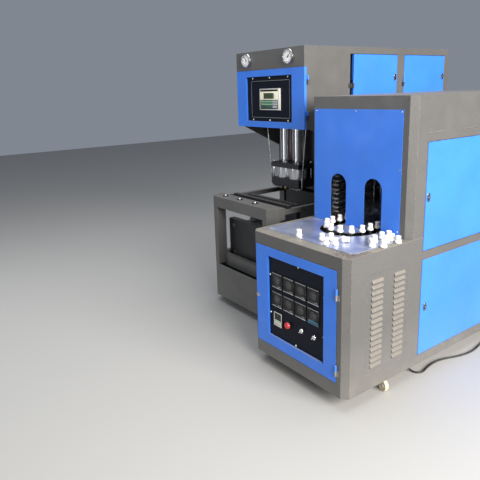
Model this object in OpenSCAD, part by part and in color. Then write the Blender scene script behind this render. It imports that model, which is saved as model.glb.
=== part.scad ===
// Two-unit blow moulding machine: a preform heater and the blowing and clamping unit beside it.
// Millimetres, Z up, fronts face -Y, origin on the floor below the middle of both units.

/* [Layout] */
// Clear gap between the two units
unit_gap = 217; // [180:1:400]
// How far the blowing unit stands behind the heater's front
blower_setback = 326; // [260:1:420]

/* [Heater casing] */
// Width of the heater
heater_w = 760; // [740:1:820]
// Length of the heater
heater_d = 1850; // [1820:1:1960]
// Height of the heater's underside above the floor
heater_base_z = 80; // [78:1:90]
// Height of the loading table
table_z = 846; // [820:1:880]
// Depth of the loading table in front of the oven
table_d = 477; // [460:1:500]
// Height of the oven's roof
oven_z = 1605; // [1560:1:1700]
// Cut of the 45 degree corner posts
corner_cut = 33; // [24:1:38]
// Sheet thickness of the casings
sheet = 2; // [1.5:0.1:3]
// Gap around each door
door_gap = 3; // [2:0.5:5]
// Depth of each folded door pan
door_fold = 20; // [16:1:26]

/* [Heater doors] */
// From the front door's right edge to the heater's right side
front_door_margin = 68; // [60:1:70]
// Height of the heater's front door
front_door_h = 615; // [590:1:630]
// Height of the front door's lower edge
front_door_z = 158; // [140:1:170]
// Left edge of the front door
front_door_x = 37; // [36:1:44]
// Width of the heater's instrument panel
panel_w = 459; // [440:1:470]
// Height of the heater's instrument panel
panel_h = 493; // [480:1:500]
// How deep the instrument panels lie behind the door face
panel_recess = 14; // [10:1:17]
// From the side doors' rear edge to the heater's rear end
side_door_margin = 69; // [60:1:150]
// Distance of the side doors from the heater's front
side_door_y = 601; // [595:1:612]
// Lower edge of the lower side door
lower_door_z = 140; // [130:1:150]
// Height of the lower side door
lower_door_h = 573; // [540:1:580]
// Lower edge of the upper side door
upper_door_z = 766; // [740:1:770]
// Height of the upper side door
upper_door_h = 595; // [570:1:610]

/* [Louvres] */
// Length of one louvre
louvre_l = 88; // [70:1:100]
// Number of louvres in one column
louvre_count = 16; // [8:1:17]
// Pitch of the louvres
louvre_pitch = 31.5; // [28:0.5:34]
// How far a louvre's hood stands out
louvre_out = 7; // [5:0.5:9]

/* [Conveyor] */
// Pitch of the conveyor chain
chain_pitch = 31.75; // [30:0.25:32]
// Number of teeth on each sprocket
sprocket_teeth = 26; // [24:1:27]
// Number of chain links in each straight run
run_links = 37; // [34:1:38]
// Distance of the front sprocket's shaft from the front
sprocket_y = 430; // [425:1:440]
// Width of the slot that the spindles run in
slot_w = 74; // [66:1:80]
// Outer diameter of a preform seat
seat_d = 36; // [30:1:40]
// Height of a preform seat
seat_h = 40; // [36:1:48]

/* [Oven] */
// Width of each preform arch
arch_w = 124; // [110:1:130]
// Height of the top of each arch
arch_top_z = 1153; // [1100:1:1200]
// Number of lamps in each bank
lamp_count = 7; // [4:1:7]
// Pitch of the lamps
lamp_pitch = 56; // [45:1:58]
// Diameter of a lamp
lamp_d = 12; // [10:1:14]

/* [Casters] */
// Diameter of a caster wheel
wheel_d = 68; // [60:1:70]
// Width of a caster wheel
wheel_w = 24; // [20:1:28]
// Trail of the swivel casters
trail = 26; // [20:1:30]

/* [Blowing unit] */
// Width of the blowing unit
blower_w = 765; // [755:1:820]
// Length of the blowing unit
blower_d = 1920; // [1900:1:2000]
// Height of the front frame
frame_z = 869; // [860:1:890]
// Height of the frame's underside above the floor
blower_base_z = 58; // [50:1:70]
// Width of the front posts
post_w = 100; // [90:1:110]
// Cut of the front frame's corners
post_cut = 55; // [45:1:60]
// Height of the front beam
beam_h = 83; // [76:1:90]
// Depth of the front beam
beam_d = 120; // [110:1:130]
// Height of the closed base
base_top_z = 326; // [300:1:330]

/* [Head] */
// Height of the head's roof
head_z = 1930; // [1900:1:2000]
// Distance of the head's front from the frame's front
head_y = 300; // [280:1:320]
// Lower edge of the head's door
head_door_z = 1383; // [1360:1:1400]
// Height of the head's door
head_door_h = 413; // [400:1:430]
// Distance of the rear cabinet from the frame's front
cabinet_y = 714; // [700:1:724]
// Height at which the tapered cheeks meet the rear cabinet
cheek_z = 1200; // [1150:1:1250]
// Diameter of a pressure gauge
gauge_d = 100; // [80:1:110]
// Width of each tall side door of the rear cabinet
tall_door_l = 480; // [470:1:500]
// Lower edge of the tall doors
tall_door_z = 400; // [380:1:450]

/* [Blowing station] */
// Distance from the frame's front to the blowing axis
station_y = 524; // [520:1:530]
// Spacing of the two blowing cylinders
cavity_pitch = 140; // [136:1:150]
// Outer diameter of a sealing cylinder
seal_cyl_d = 134; // [124:1:134]
// Bore of a sealing cylinder
seal_bore = 120; // [110:1:122]
// Height of a sealing cylinder's barrel
seal_cyl_h = 84; // [80:1:96]
// Stroke of the sealing pistons
seal_stroke = 45; // [35:1:48]
// Bore of a stretch cylinder
stretch_bore = 50; // [40:1:54]
// Stroke of the stretch rods
stretch_stroke = 330; // [280:1:335]
// Diameter of a stretch rod
stretch_rod_d = 14; // [12:1:16]

/* [Clamp] */
// Stroke of each mould platen
platen_stroke = 85; // [70:1:88]
// Half of the closed daylight between the platens
mould_half = 90; // [85:1:95]
// Thickness of a mould platen
platen_t = 35; // [30:1:38]
// Thickness of a fixed clamp plate
fixed_t = 50; // [45:1:52]
// Diameter of a tie bar
tie_d = 36; // [30:1:40]
// Length of a toggle link between its pivots
toggle_l = 102.5; // [102:0.5:108]
// Diameter of a toggle pivot
pivot_d = 20; // [16:1:22]
// Spacing of the mould bolts across
bolt_x = 400; // [360:5:420]
// Spacing of the mould bolts up and down
bolt_z = 280; // [240:5:300]

/* [Mains cord] */
// Diameter of the heater's mains cord
cord_d = 11; // [9:0.5:13]

/* [Hidden] */
$fn = 48;
grey = [0.36, 0.36, 0.36];
blue = [0.12, 0.38, 0.85];
steel = [0.72, 0.73, 0.75];
black = [0.08, 0.08, 0.09];

// Places of the two units
heater_x = (blower_w + unit_gap - heater_w) / 2;
heater_y = -(blower_setback + blower_d) / 2;
blower_x = heater_x - unit_gap - blower_w;
blower_y = heater_y + blower_setback;
eps = 0.01;
fit = 0.05;
run_gap = 0.3;
hinge_r = 6;
hinge_l = 60;
hinge_pin_r = 3;
skin = 2;

module in_heater() { translate([heater_x, heater_y, 0]) children(); }
module in_blower() { translate([blower_x, blower_y, 0]) children(); }
module slab(x0, x1, y0, y1, z0, z1) { translate([x0, y0, z0]) cube([x1 - x0, y1 - y0, z1 - z0]); }
module rod(d, x, y, z0, z1) { translate([x, y, z0]) cylinder(d = d, h = z1 - z0); }
module rod_x(d, x0, x1, y, z) { translate([x0, y, z]) rotate([0, 90, 0]) cylinder(d = d, h = x1 - x0); }
module rod_y(d, x, y0, y1, z) { translate([x, y1, z]) rotate([90, 0, 0]) cylinder(d = d, h = y1 - y0); }

// Plan of a casing whose corners are cut at 45 degrees
module cut_plan(w, y0, y1, cut, wall) {
    x0 = wall;
    x1 = w - wall;
    a = y0 + wall;
    b = y1 - wall;
    c = cut - wall * 0.586;
    polygon([[x0 + c, a], [x1 - c, a], [x1, a + c], [x1, b - c], [x1 - c, b], [x0 + c, b],
        [x0, b - c], [x0, a + c]]);
}

// A folded sheet pan: its face at z = depth, its folds down to z = 0, its corner at the origin
module pan(w, h, depth) {
    difference() {
        cube([w, h, depth]);
        translate([skin, skin, -eps]) cube([w - 2 * skin, h - 2 * skin, depth - skin + eps]);
    }
}

// A pan that stands upright with its face towards -Y
module pan_front(x, z, w, h, y) { translate([x, y + door_fold, z]) rotate([90, 0, 0]) pan(w, h, door_fold); }
// A pan that stands upright with its face towards +X
module pan_side(y, z, l, h, x) {
    translate([x - door_fold, y, z]) rotate([90, 0, 90]) pan(l, h, door_fold);
}
// The folded reveal of an opening in a front pan
module reveal_front(x, z, w, h, y) {
    difference() {
        slab(x - skin, x + w + skin, y, y + panel_recess, z - skin, z + h + skin);
        slab(x, x + w, y - 1, y + panel_recess + 1, z, z + h);
    }
}
// Oval quarter-turn lock on a +X face
module lock_side(x, y, z) {
    translate([x, y, z]) rotate([0, 90, 0]) {
        for (s = [-1, 1]) translate([s * 12, 0, 0]) cylinder(d = 24, h = 3);
        translate([-12, -12, 0]) cube([24, 24, 3]);
        cylinder(d = 16, h = 8);
    }
}

// Upper hinge halves belong to the doors, the lower halves with the pins to the casings
module knuckle(z) {
    translate([0, 0, z]) difference() {
        cylinder(r = hinge_r, h = hinge_l / 2 - run_gap);
        translate([0, 0, -1]) cylinder(r = hinge_pin_r + fit, h = hinge_l / 2 - 6);
    }
}
function leaf_top(z) = z + hinge_l / 2 - run_gap;
module knuckle_pin(z) {
    translate([0, 0, z - hinge_l / 2]) {
        cylinder(r = hinge_r, h = hinge_l / 2 - run_gap);
        cylinder(r = hinge_pin_r, h = hinge_l - 12);
    }
}

// Hinge axes
front_door_w = heater_w - front_door_x - front_door_margin;
front_axis = [front_door_x + front_door_w + hinge_r, -hinge_r - 1];
front_hinge_z = [front_door_z + 73, front_door_z + front_door_h - 124];
side_door_l = heater_d - side_door_y - side_door_margin;
side_axis = [heater_w + hinge_r + 1, side_door_y + side_door_l + hinge_r];
side_hinge_z = [lower_door_z + 90, lower_door_z + lower_door_h - 90, upper_door_z + 90,
    upper_door_z + upper_door_h - 90];
head_axis = [blower_w + hinge_r + run_gap, head_y + door_fold + hinge_r];
head_hinge_z = [head_door_z + 92, head_door_z + head_door_h - 85];
tall_door_y = [cabinet_y + 61, cabinet_y + 61 + tall_door_l + 87];
tall_door_top = head_z - 50;
tall_door_2 = blower_d - 55 - tall_door_y[1];
tall_len = [tall_door_l, tall_door_2];
tall_axis_x = blower_w + hinge_r + 1;
tall_hinge_z = [tall_door_z + 200, (tall_door_z + tall_door_top) / 2, tall_door_top - 200];
leaf = 16;
leaf_t = 1;

// Panel and instruments of the heater
panel_x = 143;
panel_z = 225;
panel_y = panel_recess;
module_x = [170, 270, 370, 470];
module_w = 90;
module_h = 92;
module_z = [417, 533];
meter = [190, 300, 66, 84];
stop_at = [315, 340];
lever_at = [[424, 345], [524, 345]];

// Conveyor
loop_x = heater_w / 2 - 5;
sprocket_r = chain_pitch / (2 * sin(180 / sprocket_teeth));
run_l = run_links * chain_pitch;
rear_y = sprocket_y + run_l;
chain_z = table_z - 34;
plate_h = 14;
roller_d = 10.16;
link_count = sprocket_teeth + 2 * run_links;
spindle_d = 12;
seat_z = table_z + 13;
slot_in = sprocket_r - slot_w / 2;
slot_out = sprocket_r + slot_w / 2;
plate_t = 3;

// Place and heading of chain joint i, counted along the loop
function half_teeth() = sprocket_teeth / 2;
function joint_at(i) =
    i < run_links ? [sprocket_r, sprocket_y + i * chain_pitch] :
    i < run_links + half_teeth() ?
        [sprocket_r * cos((i - run_links) * 360 / sprocket_teeth),
         rear_y + sprocket_r * sin((i - run_links) * 360 / sprocket_teeth)] :
    i < 2 * run_links + half_teeth() ?
        [-sprocket_r, rear_y - (i - run_links - half_teeth()) * chain_pitch] :
        [-sprocket_r * cos((i - 2 * run_links - half_teeth()) * 360 / sprocket_teeth),
         sprocket_y - sprocket_r * sin((i - 2 * run_links - half_teeth()) * 360 / sprocket_teeth)];

// Oven
arch_x = [loop_x - sprocket_r, loop_x + sprocket_r];
arch_sheet_x = [40, heater_w - 68];
arch_sheet_top = oven_z - 72;
lamp_z0 = table_z + 62;
lamp_y = [table_d + 85, rear_y + 150];
bank_x = [118, heater_w - 128];
partition_z = upper_door_z + upper_door_h;

// Clamp
mid_x = blower_w / 2;
front_plate_y = beam_d;
platen_y = station_y - mould_half - platen_stroke - platen_t;
rear_plate_y = 2 * station_y - beam_d - fixed_t;
plate_x = 295;
plate_z = [330, 680];
stop_bar_x = [92, 735];
stop_bar_y = front_plate_y + fixed_t;
stop_bar_d = 35;
stop_bar_h = 24;
stop_foot_x = 30;
platen_x = 280;
platen_z = [345, frame_z - 24];
tie_x = 235;
tie_z = [410, 630];
lug_off = 18;
ear_off = 28;
pivot_z = 600;
pivot_y = front_plate_y + fixed_t + lug_off;
toggle_open = platen_y - ear_off - pivot_y;
theta_open = acos(toggle_open / (2 * toggle_l));
theta_shut = acos((toggle_open + platen_stroke) / (2 * toggle_l));
knee_drop = toggle_l * sin(theta_open);
knee_z = pivot_z - knee_drop;
knee_in = toggle_l * cos(theta_open);
knee_y = pivot_y + knee_in;
lift = knee_drop - toggle_l * sin(theta_shut);
arm_t = 14;
arm_w = 32;
lug_x = 24;
lug_t = 14;
crank_x = 42;
link_x = 60;
ear_x = 78;
ear_t = 14;
beam_t = 30;
slot_h = pivot_d + 10;
notch_x = beam_t / 2 + 5;
notch_z = knee_z + lift + 8;
ear_slot = 8;

// Station
cav_x = [mid_x - cavity_pitch / 2, mid_x + cavity_pitch / 2];
lower_plate_z = [925, 985];
upper_plate_z = lower_plate_z[1] + seal_cyl_h;
upper_plate_t = 36;
station_half = [155, 76];
stretch_z0 = upper_plate_z + upper_plate_t;
stretch_wall = 4;
stretch_h = stretch_stroke + 66;
seal_rod_d = 50;
piston_h = 22;
nozzle_z = lower_plate_z[0] - 38;

// Mains cord: where it runs, on the floor beside the heater, in the heater's own frame
cord_path = [[600, 600, 54], [622, 600, 54], [646, 604, 50], [668, 608, 38], [690, 613, 22], [714, 619, 10],
    [738, 628, 6], [754, 644, 6], [757, 668, 6], [751, 700, 6], [743, 740, 6], [738, 785, 6], [738, 832, 6],
    [746, 878, 6], [760, 922, 6], [776, 966, 6], [790, 1010, 6], [799, 1056, 6], [803, 1104, 6],
    [800, 1152, 6], [793, 1200, 6], [785, 1248, 6], [778, 1296, 6], [774, 1344, 6], [772.5, 1385, 6]];
coil_r = 62;
coil_at = [846, 1390];

// Frame and base
tube_wall = 3;
floor_t = 3;
post_d = 80;
rail_w = 35;
rail_h = 34;
rail_side = 22;
rail_top = frame_z - 21;
rail_in = 30;
low_rail_w = 50;
low_rail_z = base_top_z + 84;
cross_y = 2 * station_y - beam_d;
front_cross_y = 60;
foot_in = 110;
column_w = 60;
column_d = 24;
slot_gap = tall_door_y[0] - cabinet_y - column_d;
button_x = [135, 321, 506];
button_y = 62;
button_d = 22;
button_lift = 6;

// Head
head_door_top = head_door_z + head_door_h + 1;
head_floor_z = head_door_z + 14;
head_win_x = 116;
head_win_w = 521;
head_win_z = 1427;
head_win_h = 323;
unit_x = 275;
unit_w = 230;
unit_z = 1511;
unit_h = 151;
gauge_x = [142, 617];
gauge_z = head_z - 60;
gauge_neck_d = 60;
tall_lock_z = tall_door_top - 162;

manifold_in = 80;
manifold_z = [700, 1500];
valve_z = [1180, 1330];
valve_pitch = 82;
hose_side = 36;
hose_above = 60;
hose_clip = [20, 44];
hub_d = 64;
bearing_d = 90;
bearing_h = 52;
lightening_d = 48;

// Heater details
vent_y = [150, 475];
vent_z = [170, 725];
louvre_y = [183, 360];
louvre_z = 205;
panel_t = 1.5;
cross_z = 722;
cross_ys = [sprocket_y, sprocket_y + 330, rear_y - 330, rear_y];
rail_ys = [sprocket_y + 330, rear_y - 330];
rail_z = chain_z + 18;
shaft_d = 30;
chain_pin_d = 5;
mould_bolt_d = 10.2;
clamp_bore = 80;
clamp_rod_d = 36;
clamp_top_z = 330;
lift_piston_z = 250;
knee_travel = toggle_l * cos(theta_shut) - knee_in;
port_reach = 130;
port_y = station_y - 58;
tube_top_z = 1000;
side_out = 46;
side_lean = atan(side_out / (head_floor_z - tube_top_z));
side_len = norm([side_out, head_floor_z - tube_top_z]) - 8;
fork_x = [60, heater_w - 54];
fork_y = 345;
fork_turn = -12;
rear_wheel_x = [80, heater_w - 80];
rear_wheel_y = heater_d - 300;
caster_plate = 4;
king_d = 12;
axle_d = 10;
cheek_x = wheel_w / 2 + 4;
plug_d = 56;
// Spare seats: distance from the heater's right side, from its front, and what they stand on
spare_up = [[458, 104, plate_t], [316, 141, plate_t], [287, 182, plate_t], [245, 102, plate_t],
    [208, 134, plate_t], [60, 250, plate_t], [20, 291, 0], [105, 322, plate_t], [62, 362, plate_t],
    [120, 398, plate_t], [110, 444, plate_t], [62, 410, plate_t], [20, 408, 0]];
spare_down = [[220, 196, 35], [96, 270, 75]];

// One post of the front frame: a folded tube with its outer corner cut
module post_plan(wall) {
    c = post_cut - wall * 0.414;
    polygon([[wall, wall + c], [wall + c, wall], [post_w - wall, wall],
        [post_w - wall, post_d - wall], [wall, post_d - wall]]);
}
module post(z0, z1) {
    translate([0, 0, z0]) linear_extrude(z1 - z0) difference() {
        post_plan(0);
        post_plan(tube_wall);
    }
}
// A square tube between two corners, open at its ends along Y
module tube_y(x0, x1, y0, y1, z0, z1) {
    difference() {
        slab(x0, x1, y0, y1, z0, z1);
        slab(x0 + tube_wall, x1 - tube_wall, y0 - 1, y1 + 1, z0 + tube_wall, z1 - tube_wall);
    }
}
// A square tube along X
module tube_x(x0, x1, y0, y1, z0, z1) {
    difference() {
        slab(x0, x1, y0, y1, z0, z1);
        slab(x0 - 1, x1 + 1, y0 + tube_wall, y1 - tube_wall, z0 + tube_wall, z1 - tube_wall);
    }
}
// Plan of the frame and its base: only the two front corners are cut
module frame_plan(wall) {
    c = post_cut - wall * 0.414;
    polygon([[wall, wall + c], [wall + c, wall], [blower_w - wall - c, wall],
        [blower_w - wall, wall + c], [blower_w - wall, cabinet_y - wall], [wall, cabinet_y - wall]]);
}
module blower_frame() {
    color(grey) in_blower() {
        difference() {
            union() {
                post(base_top_z, frame_z - beam_h + 1);
                translate([blower_w, 0, 0]) mirror([1, 0, 0]) post(base_top_z, frame_z - beam_h + 1);
                front_beam();
                for (x = [rail_side, blower_w - rail_side - rail_w])
                    tube_y(x, x + rail_w, beam_d - 1, cabinet_y - run_gap, rail_top - rail_h, rail_top);
                base_box();
                for (x = [rail_in, blower_w - rail_in - low_rail_w])
                    tube_y(x, x + low_rail_w, post_d - 1, cross_y + 1, base_top_z, low_rail_z);
                tube_x(rail_in, blower_w - rail_in, cross_y, cross_y + 40, base_top_z, low_rail_z);
                tube_x(post_w - 20, blower_w - post_w + 20, front_cross_y, front_cross_y + 40,
                    base_top_z - 20, low_rail_z - 10);
            }
            for (x = button_x) rod(button_d + 2 * run_gap, x, button_y, frame_z - 20, frame_z + 1);
        }
    }
}
module front_beam() {
    difference() {
        translate([0, 0, frame_z - beam_h]) linear_extrude(beam_h) polygon([[0, post_cut],
            [post_cut, 0], [blower_w - post_cut, 0], [blower_w, post_cut],
            [blower_w, beam_d], [0, beam_d]]);
        slab(tube_wall, blower_w - tube_wall, post_cut, beam_d - tube_wall,
            frame_z - beam_h + tube_wall, frame_z - tube_wall);
        slab(post_cut, blower_w - post_cut, tube_wall, post_cut + 1,
            frame_z - beam_h + tube_wall, frame_z - tube_wall);
    }
}
// Closed sheet base with a floor, open on top
module base_box() {
    translate([0, 0, blower_base_z]) difference() {
        linear_extrude(base_top_z - blower_base_z) frame_plan(0);
        translate([0, 0, floor_t]) linear_extrude(base_top_z) frame_plan(sheet);
    }
}
module levelling_feet() {
    color(black) in_blower() for (x = [foot_in, blower_w - foot_in])
        for (y = [foot_in, blower_d / 2, blower_d - foot_in]) {
            rod(70, x, y, 0, 14);
            rod(44, x, y, 14, 24);
            rod(16, x, y, 24, blower_base_z);
            rod(30, x, y, blower_base_z - 12, blower_base_z);
        }
}

// Side view of the head, its tapered cheek and the rear cabinet
module casing_side() {
    polygon([[head_y, head_z], [blower_d, head_z], [blower_d, blower_base_z],
        [cabinet_y, blower_base_z], [cabinet_y, cheek_z], [head_y + door_fold + 24, head_door_z],
        [head_y + door_fold + run_gap, head_door_z], [head_y + door_fold + run_gap, head_door_top],
        [head_y, head_door_top]]);
}
module casing_wall(x) { translate([x, 0, 0]) rotate([90, 0, 90]) linear_extrude(sheet) casing_side(); }
module blower_casing() {
    x1 = blower_w - sheet;
    color(grey) in_blower() difference() {
        union() {
            casing_wall(0);
            casing_wall(x1);
            slab(0, blower_w, head_y, blower_d, head_z - sheet, head_z);
            slab(0, blower_w, blower_d - sheet, blower_d, blower_base_z, head_z);
            slab(0, blower_w, cabinet_y, blower_d, blower_base_z, blower_base_z + floor_t);
            slab(0, blower_w, head_y, head_y + sheet, head_door_top, head_z);
            slab(0, blower_w, cabinet_y, cabinet_y + sheet, frame_z, head_z);
            slab(0, blower_w, cabinet_y, cabinet_y + sheet, blower_base_z, base_top_z);
            slab(sheet, x1, head_y + door_fold + 6, cabinet_y, head_floor_z, head_floor_z + sheet);
            for (x = [0, blower_w - column_w])
                slab(x, x + column_w, cabinet_y, cabinet_y + column_d, blower_base_z, head_z);
            for (y = [tall_door_y[0] + tall_len[0] + door_gap, blower_d - 40])
                slab(x1 - 30, x1, y, y + 30, blower_base_z, head_z);
        }
        for (x = [rail_in, blower_w - rail_in - low_rail_w]) slab(x - run_gap, x + low_rail_w + run_gap,
            cabinet_y - 1, cabinet_y + column_d + 1, base_top_z - run_gap, low_rail_z + run_gap);
        for (x = gauge_x) rod_y(gauge_neck_d + 2 * run_gap, x, head_y - 1, head_y + sheet + 1, gauge_z);
        for (i = [0, 1]) slab(x1 - 1, blower_w + 1, tall_door_y[i] - (i == 0 ? slot_gap : door_gap),
            tall_door_y[i] + tall_len[i] + door_gap, tall_door_z - door_gap, tall_door_top + door_gap);
        slab(cav_x[0] - 50, cav_x[1] + 50, station_y - 40, station_y + station_half[1] - 2,
            head_floor_z - 1, head_floor_z + sheet + 1);
    }
}

module head_door() {
    color(blue) in_blower() {
        difference() {
            pan_front(0, head_door_z, blower_w, head_door_h, head_y);
            slab(head_win_x, head_win_x + head_win_w, head_y - 1, head_y + skin + 1,
                head_win_z, head_win_z + head_win_h);
        }
        reveal_front(head_win_x, head_win_z, head_win_w, head_win_h, head_y);
        for (z = head_hinge_z) {
            translate([head_axis[0], head_axis[1], 0]) knuckle(z);
            slab(blower_w - 1, blower_w + run_gap + leaf_t, head_y + 4, head_y + door_fold, z, leaf_top(z));
            slab(blower_w + run_gap, blower_w + run_gap + leaf_t, head_y + door_fold - 1,
                head_axis[1] - 2, z, leaf_top(z));
        }
    }
}
module head_panel() {
    y = head_y + panel_recess;
    color(black) in_blower() difference() {
        slab(head_win_x - 8, head_win_x + head_win_w + 8, y, y + 2, head_win_z - 8,
            head_win_z + head_win_h + 8);
        slab(unit_x + 6, unit_x + unit_w - 6, y - 1, y + 3, unit_z + 6, unit_z + unit_h - 6);
    }
}
// Control unit: bezel in front of the panel, housing behind it, display window and keys
module blow_controller() {
    y = head_y + panel_recess;
    color([0.85, 0.84, 0.75]) in_blower() {
        difference() {
            slab(unit_x, unit_x + unit_w, y - 7, y, unit_z, unit_z + unit_h);
            slab(unit_x + 46, unit_x + 160, y - 8, y - 4, unit_z + 88, unit_z + 128);
            slab(unit_x + 12, unit_x + unit_w - 30, y - 8, y - 5, unit_z + 10, unit_z + 72);
        }
        slab(unit_x + 6.5, unit_x + unit_w - 6.5, y - 1, y + 46, unit_z + 6.5, unit_z + unit_h - 6.5);
        for (row = [0:2]) for (i = [0:6])
            slab(unit_x + 18 + i * 26, unit_x + 38 + i * 26, y - 7, y - 4.9,
                unit_z + 14 + row * 19, unit_z + 28 + row * 19);
    }
}
module gauge(x) {
    translate([x, head_y, gauge_z]) rotate([90, 0, 0]) {
        difference() {
            cylinder(d = gauge_d, h = 22);
            translate([0, 0, 12]) cylinder(d = gauge_d - 12, h = 11);
        }
        translate([0, 0, -24]) cylinder(d = gauge_neck_d, h = 25);
        cylinder(d = 4, h = 17);
    }
}
module pressure_gauges() { color("white") in_blower() for (x = gauge_x) gauge(x); }
// Needle on its post, pointing at an angle from the top, clockwise
module needle(x, angle) {
    color(black) in_blower() translate([x, head_y, gauge_z]) rotate([90, 0, 0])
        translate([0, 0, 12.4]) rotate([0, 0, -angle]) difference() {
            union() {
                cylinder(d = 12, h = 2.4);
                translate([-1.5, -12, 0.4]) cube([3, gauge_d / 2 + 2, 1.4]);
            }
            translate([0, 0, -1]) cylinder(d = 4 + 2 * fit, h = 6);
        }
}
module gauge_needle_left() { needle(gauge_x[0], -35); }
module gauge_needle_right() { needle(gauge_x[1], 40); }

module tall_door(i) {
    color(blue) in_blower() {
        pan_side(tall_door_y[i], tall_door_z, tall_len[i], tall_door_top - tall_door_z, blower_w + 1);
        for (z = tall_hinge_z) {
            translate([tall_axis_x, tall_door_y[i] - hinge_r, 0]) knuckle(z);
            slab(blower_w + 1, blower_w + 1 + leaf_t, tall_door_y[i] - hinge_r + 2,
                tall_door_y[i] + leaf, z, leaf_top(z));
        }
        lock_side(blower_w + 1, tall_door_y[i] + tall_len[i] - 22, tall_lock_z);
    }
}
module tall_door_front() { tall_door(0); }
module tall_door_rear() { tall_door(1); }

module push_button(i) {
    color(steel) in_blower() translate([button_x[i], button_y, frame_z]) {
        translate([0, 0, -26]) cylinder(d = button_d, h = 34);
        translate([0, 0, button_lift]) cylinder(d1 = button_d + 8, d2 = button_d - 4, h = 7);
    }
}
module push_button_left() { push_button(0); }
module push_button_middle() { push_button(1); }
module push_button_right() { push_button(2); }

// The clamp is built for the front side and mirrored about the parting plane for the rear
module rear_side() { translate([0, 2 * station_y, 0]) mirror([0, 1, 0]) children(); }
module tie_holes(y0, y1) {
    for (s = [-1, 1]) for (z = tie_z) rod_y(tie_d + 2 * fit, mid_x + s * tie_x, y0 - 1, y1 + 1, z);
}
// Two rounded ears that stand on a face: from the face at y0 to the pivot at y1
module ears(x_in, t, y0, y1) {
    for (s = [-1, 1]) {
        x = mid_x + s * (x_in + t / 2) - t / 2;
        slab(x, x + t, min(y0, y1), max(y0, y1), pivot_z - arm_w / 2, pivot_z + arm_w / 2);
        rod_x(arm_w, x, x + t, y1, pivot_z);
    }
}
module fixed_plate() {
    difference() {
        slab(mid_x - plate_x, mid_x + plate_x, front_plate_y, front_plate_y + fixed_t,
            plate_z[0], plate_z[1]);
        tie_holes(front_plate_y, front_plate_y + fixed_t);
    }
    ears(lug_x, lug_t, front_plate_y + fixed_t - 1, pivot_y);
    rod_x(pivot_d, mid_x - crank_x - arm_t - 4, mid_x + crank_x + arm_t + 4, pivot_y, pivot_z);
}
module fixed_plates() {
    color(black) in_blower() {
        fixed_plate();
        rear_side() fixed_plate();
        slab(stop_bar_x[0], stop_bar_x[1], stop_bar_y, stop_bar_y + stop_bar_d, rail_top,
            rail_top + stop_bar_h);
        slab(stop_foot_x, stop_bar_x[0] + 1, stop_bar_y, stop_bar_y + stop_bar_d, rail_top, rail_top + 6);
    }
}
module tie_bars() {
    color(steel) in_blower() for (s = [-1, 1]) for (z = tie_z)
        rod_y(tie_d, mid_x + s * tie_x, front_plate_y, 2 * station_y - front_plate_y, z);
}
module platen() {
    difference() {
        slab(mid_x - platen_x, mid_x + platen_x, platen_y, platen_y + platen_t, platen_z[0], platen_z[1]);
        tie_holes(platen_y, platen_y + platen_t);
        for (s = [-1, 1]) for (t = [-1, 1]) rod_y(mould_bolt_d, mid_x + s * bolt_x / 2, platen_y - 1,
            platen_y + platen_t + 1, pivot_z + t * bolt_z / 2);
        slab(mid_x - notch_x, mid_x + notch_x, platen_y - 1, platen_y + platen_t + 1, 0, notch_z);
    }
    difference() {
        ears(ear_x, ear_t, platen_y + 1, platen_y - ear_off);
        for (y = [0, ear_slot]) rod_x(pivot_d + 2 * run_gap, 0, blower_w, platen_y - ear_off + y, pivot_z);
        slab(0, blower_w, platen_y - ear_off, platen_y - ear_off + ear_slot,
            pivot_z - pivot_d / 2 - run_gap, pivot_z + pivot_d / 2 + run_gap);
    }
}
module front_platen() { color(black) in_blower() platen(); }
module rear_platen() { color(black) in_blower() rear_side() platen(); }

// A toggle arm between two points of the YZ plane, bored for its pivots
module arm(x, p, q, holes) {
    len = norm(q - p);
    translate([x, p[0], p[1]]) rotate([atan2(q[1] - p[1], q[0] - p[0]), 0, 0]) difference() {
        union() {
            rotate([0, 90, 0]) cylinder(d = arm_w, h = arm_t);
            translate([0, len, 0]) rotate([0, 90, 0]) cylinder(d = arm_w, h = arm_t);
            translate([0, 0, -arm_w * 0.4]) cube([arm_t, len, arm_w * 0.8]);
        }
        for (y = holes) translate([-1, y * len, 0]) rotate([0, 90, 0])
            cylinder(d = pivot_d + 2 * fit, h = arm_t + 2);
    }
}
module crank() {
    for (s = [0, 1]) arm(mid_x + (s == 1 ? crank_x : -crank_x - arm_t), [pivot_y, pivot_z],
        [knee_y, knee_z], [0]);
    rod_x(pivot_d, mid_x - link_x - arm_t - 2, mid_x + link_x + arm_t + 2, knee_y, knee_z);
}
module link() {
    for (s = [0, 1]) arm(mid_x + (s == 1 ? link_x : -link_x - arm_t), [knee_y, knee_z],
        [knee_y + knee_in, pivot_z], [0]);
    for (s = [-1, 1]) {
        x = mid_x + s * (link_x + ear_x + ear_t + 3) / 2;
        rod_x(pivot_d, x - (ear_x + ear_t + 3 - link_x) / 2, x + (ear_x + ear_t + 3 - link_x) / 2,
            knee_y + knee_in, pivot_z);
    }
}
module front_crank() { color(steel) in_blower() crank(); }
module rear_crank() { color(steel) in_blower() rear_side() crank(); }
module front_link() { color(steel) in_blower() link(); }
module rear_link() { color(steel) in_blower() rear_side() link(); }

module clamp_cylinder() {
    z0 = blower_base_z + floor_t;
    color(steel) in_blower() difference() {
        union() {
            slab(mid_x - 60, mid_x + 60, station_y - 60, station_y + 60, z0, z0 + 24);
            rod(clamp_bore + 16, mid_x, station_y, z0 + 20, clamp_top_z);
            slab(mid_x - 60, mid_x + 60, station_y - 60, station_y + 60, clamp_top_z - 1, clamp_top_z + 24);
        }
        rod(clamp_bore, mid_x, station_y, z0 + 24, clamp_top_z);
        rod(clamp_rod_d + 2 * fit, mid_x, station_y, clamp_top_z - 2, clamp_top_z + 30);
    }
}
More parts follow.
